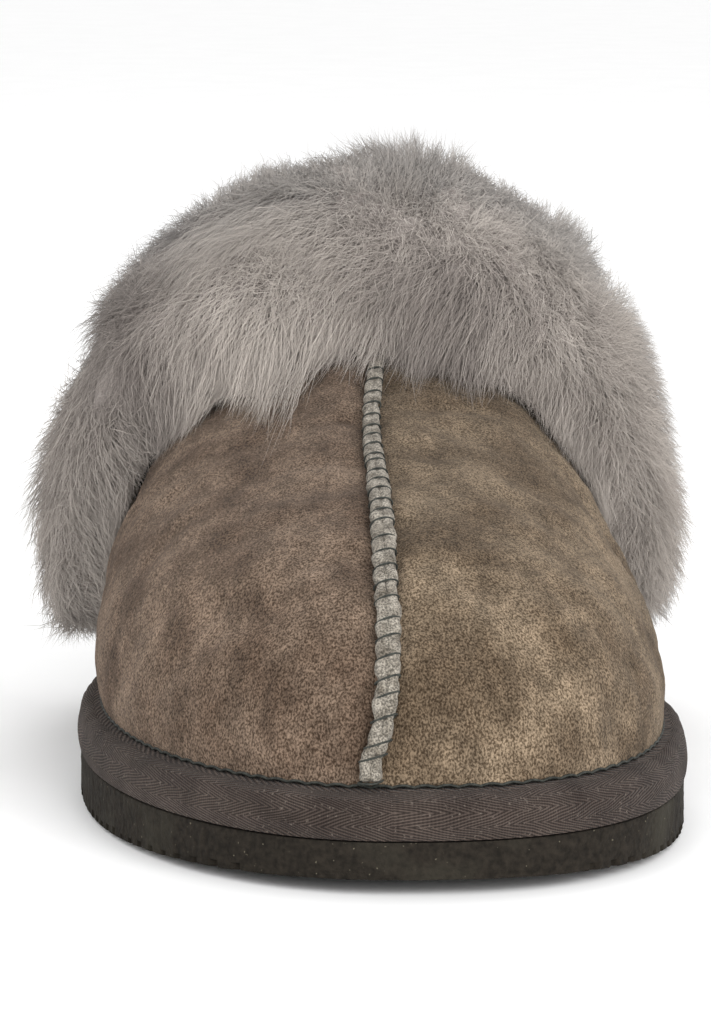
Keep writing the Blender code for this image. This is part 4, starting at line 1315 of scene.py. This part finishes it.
def lining_face(side, depth, lumps):
    """One face of the lining's body, at a depth below the hide's flesh side."""

    def place(u, v):
        along = LINING_START + (1 - LINING_START) * v
        across = side * u * lining_limit(along)
        flat = vamp_point(across, along, -depth, side)
        hills = lumps * ripple(flat, 6 * MM, 91)
        return vamp_point(across, along, hills - depth, side)

    return place


short_wool = wool("short wool", rgb(140, 132, 127), rgb(196, 188, 180), 0.70, 0.25)
short_under = under_wool("short under-wool", rgb(92, 86, 83), rgb(126, 119, 115))
LINING_BODY = 6.0 * MM
for side, name in ((LATERAL, "lateral"), (MEDIAL, "medial")):
    near, far = HIDE_THICKNESS + SKIN_GAP, HIDE_THICKNESS + SKIN_GAP + LINING_BODY
    lining_bm = closed_sheet(40, 40, lining_face(side, near, 0.0), lining_face(side, far, 0.5 * MM))
    finish_bmesh(f"lining_body_{name}", lining_bm, short_under, [f"vamp_{name}_pile"], sharp=180)

# %% Lining fibres
LINING_FIBRES, LINING_TUFTS = 8500, 1800
draw = np.random.default_rng(101)
along = 0.60 + 0.40 * draw.beta(1.4, 0.9, LINING_FIBRES)
across = draw.uniform(-1.12, 1.12, LINING_FIBRES) * lining_limit(along)
body_depth = HIDE_THICKNESS + SKIN_GAP + 0.9 * LINING_BODY
roots = vamp_point(across, along, -body_depth)
deep = body_depth + draw.uniform(2.2, 4.6, LINING_FIBRES) * MM
lean = draw.normal(0.0, 0.02, LINING_FIBRES)
tips = vamp_point(across + lean, along + 0.03 + draw.normal(0, 0.02, LINING_FIBRES), -deep)
spots = np.column_stack([across * 100 * MM, along * 130 * MM])
tuft_number = pull_together(tips, spots, LINING_TUFTS, 0.5, 102)
bends = (roots + tips) / 2 + draw.normal(0, 0.6 * MM, (LINING_FIBRES, 3))
outs = unit(vamp_point(across, along, -body_depth - 1 * MM) - roots)
shades = tufted_shades(draw, 0.45, tuft_number, LINING_TUFTS)
grow("lining_wool", short_wool, roots, bends, tips, outs, shades, 0.26 * MM, 0.30 * MM, 103)

# %% Wool over the throat's rim
THROAT_FIBRES, THROAT_TUFTS = 9500, 1600
draw = np.random.default_rng(151)
across = draw.uniform(-0.97, 0.97, THROAT_FIBRES)
inner_reach = np.minimum(np.abs(across), lining_limit(np.ones(THROAT_FIBRES))) * np.sign(across)
along = draw.uniform(0.93, 1.0, THROAT_FIBRES)
roots = vamp_point(inner_reach, along, -draw.uniform(2.5, 7.5, THROAT_FIBRES) * MM)
tips = vamp_point(
    across + draw.normal(0, 0.02, THROAT_FIBRES),
    draw.uniform(1.01, 1.045, THROAT_FIBRES),
    draw.uniform(-6.0, 6.5, THROAT_FIBRES) * MM,
)
spots = np.column_stack([across * 100 * MM, tips[:, 2]])
tuft_number = pull_together(tips, spots, THROAT_TUFTS, 0.4, 152)
behind_rim = vamp_point(across, np.full(THROAT_FIBRES, 1.02), -5.0 * MM)
bends = 0.5 * behind_rim + 0.25 * (roots + tips)
outs = unit(tips - roots)
shades = tufted_shades(draw, 0.42, tuft_number, THROAT_TUFTS)
grow("throat_wool", short_wool, roots, bends, tips, outs, shades, 0.25 * MM, 0.40 * MM, 153)

# %% Footbed body
PILE_SETBACK = 3 * MM
PILE_INSET = FOOTBED_INSET + PILE_SETBACK
PILE_BOTTOM = pile_low[2]
PILE_BODY_TOP = PILE_BOTTOM + 0.62 * (FOOTBED_TOP - PILE_BOTTOM)
PILE_ROUNDING, PILE_HILLS, PILE_HILL_SIZE = 5 * MM, 0.6 * MM, 8 * MM


def footbed_spot(across, y):
    """Where a share across lies at a distance from the toe, and how far that is from the rim."""
    side = np.where(across < 0, LATERAL, MEDIAL)
    room = half_width(side, y, PILE_INSET)
    return centre_line(y) + across * room, room * (1 - np.abs(across))


def rounded(rim):
    """The share of the under-wool's height at a distance from its rim."""
    return np.sqrt(np.maximum(1 - (1 - np.clip(rim / PILE_ROUNDING, 0, 1)) ** 2, 0.0))


def footbed_face(on_top):
    """The top or the underside of the footbed's under-wool."""

    def place(u, v):
        across = np.sin(math.pi * (u - 0.5))
        y = PILE_INSET + (SOLE_LENGTH - 2 * PILE_INSET) * (1 - np.cos(math.pi * v)) / 2
        x, to_rim = footbed_spot(across, y)
        z = np.full(len(u), PILE_BOTTOM)
        if on_top:
            flat = np.stack([x, y, 0 * x], axis=1)
            rim = np.minimum(to_rim, np.minimum(y - PILE_INSET, SOLE_LENGTH - PILE_INSET - y))
            z += (PILE_BODY_TOP - PILE_BOTTOM) * rounded(rim)
            z += PILE_HILLS * ripple(flat, PILE_HILL_SIZE, 111) * rounded(rim)
        return np.stack([MIDDLE_X + x, TOE_Y + y, z], axis=1)

    return place


footbed_bm = closed_sheet(40, 90, footbed_face(True), footbed_face(False))
finish_bmesh("footbed_body", footbed_bm, short_under, ["footbed_pile"], sharp=180)

# %% Footbed fibres
FOOTBED_PIECES, FOOTBED_FIBRES, FOOTBED_TUFTS = 2, 15000, 3200
FOOTBED_START, EDGE_LEAN, EDGE_LEAN_WIDTH = 84 * MM, 5 * MM, 7 * MM
draw = np.random.default_rng(121)
across = np.sin(draw.uniform(-1, 1, FOOTBED_FIBRES) * math.pi / 2)
across = np.where(draw.random(FOOTBED_FIBRES) < 0.75, draw.uniform(-1, 1, FOOTBED_FIBRES), across)
y = draw.uniform(FOOTBED_START, SOLE_LENGTH - PILE_INSET, FOOTBED_FIBRES)
x, to_rim = footbed_spot(across, y)
rim = np.minimum(to_rim, (SOLE_LENGTH - PILE_INSET - y) * 0.9)
root_z = PILE_BOTTOM + 0.92 * (PILE_BODY_TOP - PILE_BOTTOM) * rounded(rim)
roots = np.stack([MIDDLE_X + x, TOE_Y + y, root_z], axis=1)
outwards = unit(np.stack([x - centre_line(y), np.maximum(y - HEEL_CENTRE, 0.0), 0 * x], axis=1))
edge_share = (1 - ease(rim / EDGE_LEAN_WIDTH))[:, None]
spread = draw.normal(0, 1.5 * MM, (FOOTBED_FIBRES, 3)) * np.array([1.0, 1.0, 0.3])
rise = (FOOTBED_TOP - PILE_BODY_TOP) * draw.uniform(0.75, 1.15, FOOTBED_FIBRES)
rise += (PILE_BODY_TOP - root_z) * 0.8
tips = roots + spread + edge_share * outwards * EDGE_LEAN
tips[:, 2] = root_z + rise * (1 - 0.35 * edge_share[:, 0])
tuft_number = pull_together(tips, np.column_stack([x, y]), FOOTBED_TUFTS, 0.5, 122)
bends = (roots + tips) / 2 + draw.normal(0, 0.9 * MM, (FOOTBED_FIBRES, 3))
outs = unit(outwards * edge_share + np.array([0.0, 0.0, 1.0]))
shades = tufted_shades(draw, 0.5, tuft_number, FOOTBED_TUFTS, 0.13)
fibres = (roots, bends, tips, outs, shades)
grow_in_parts("footbed_wool", short_wool, fibres, y, FOOTBED_PIECES, 0.27 * MM, 0.35 * MM, 123)

# %% Wool over the rim of the footbed
RIM_FIBRES, RIM_TUFTS, RIM_BULGE = 7000, 1100, 1.6 * MM
draw = np.random.default_rng(141)
rim_turn = draw.uniform(0.17, 0.83, RIM_FIBRES)
roots = outline(rim_turn, FOOTBED_INSET + draw.uniform(1.0, 4.5, RIM_FIBRES) * MM, PILE_BOTTOM)
roots[:, 2] += draw.uniform(0.0, 5.5, RIM_FIBRES) * MM
tip_inset = FEATHER_INSET + draw.uniform(-0.4, 3.4, RIM_FIBRES) * MM
tips = outline(rim_turn + draw.normal(0, 0.004, RIM_FIBRES), tip_inset, TAPE_TOP)
tips[:, 2] += draw.uniform(0.2, 1.0, RIM_FIBRES) ** 2 * 9 * MM
outs = unit(outline(rim_turn, 0.0, 0.0) - outline(rim_turn, 8 * MM, 0.0))
tuft_number = pull_together(tips, np.column_stack([rim_turn * 0.7, roots[:, 2]]), RIM_TUFTS, 0.45, 142)
bends = (roots + tips) / 2 + outs * RIM_BULGE + draw.normal(0, 0.5 * MM, (RIM_FIBRES, 3))
bends[:, 2] += RIM_BULGE
shades = tufted_shades(draw, 0.5, tuft_number, RIM_TUFTS)
grow("rim_wool", short_wool, roots, bends, tips, outs, shades, 0.25 * MM, 0.30 * MM, 143)
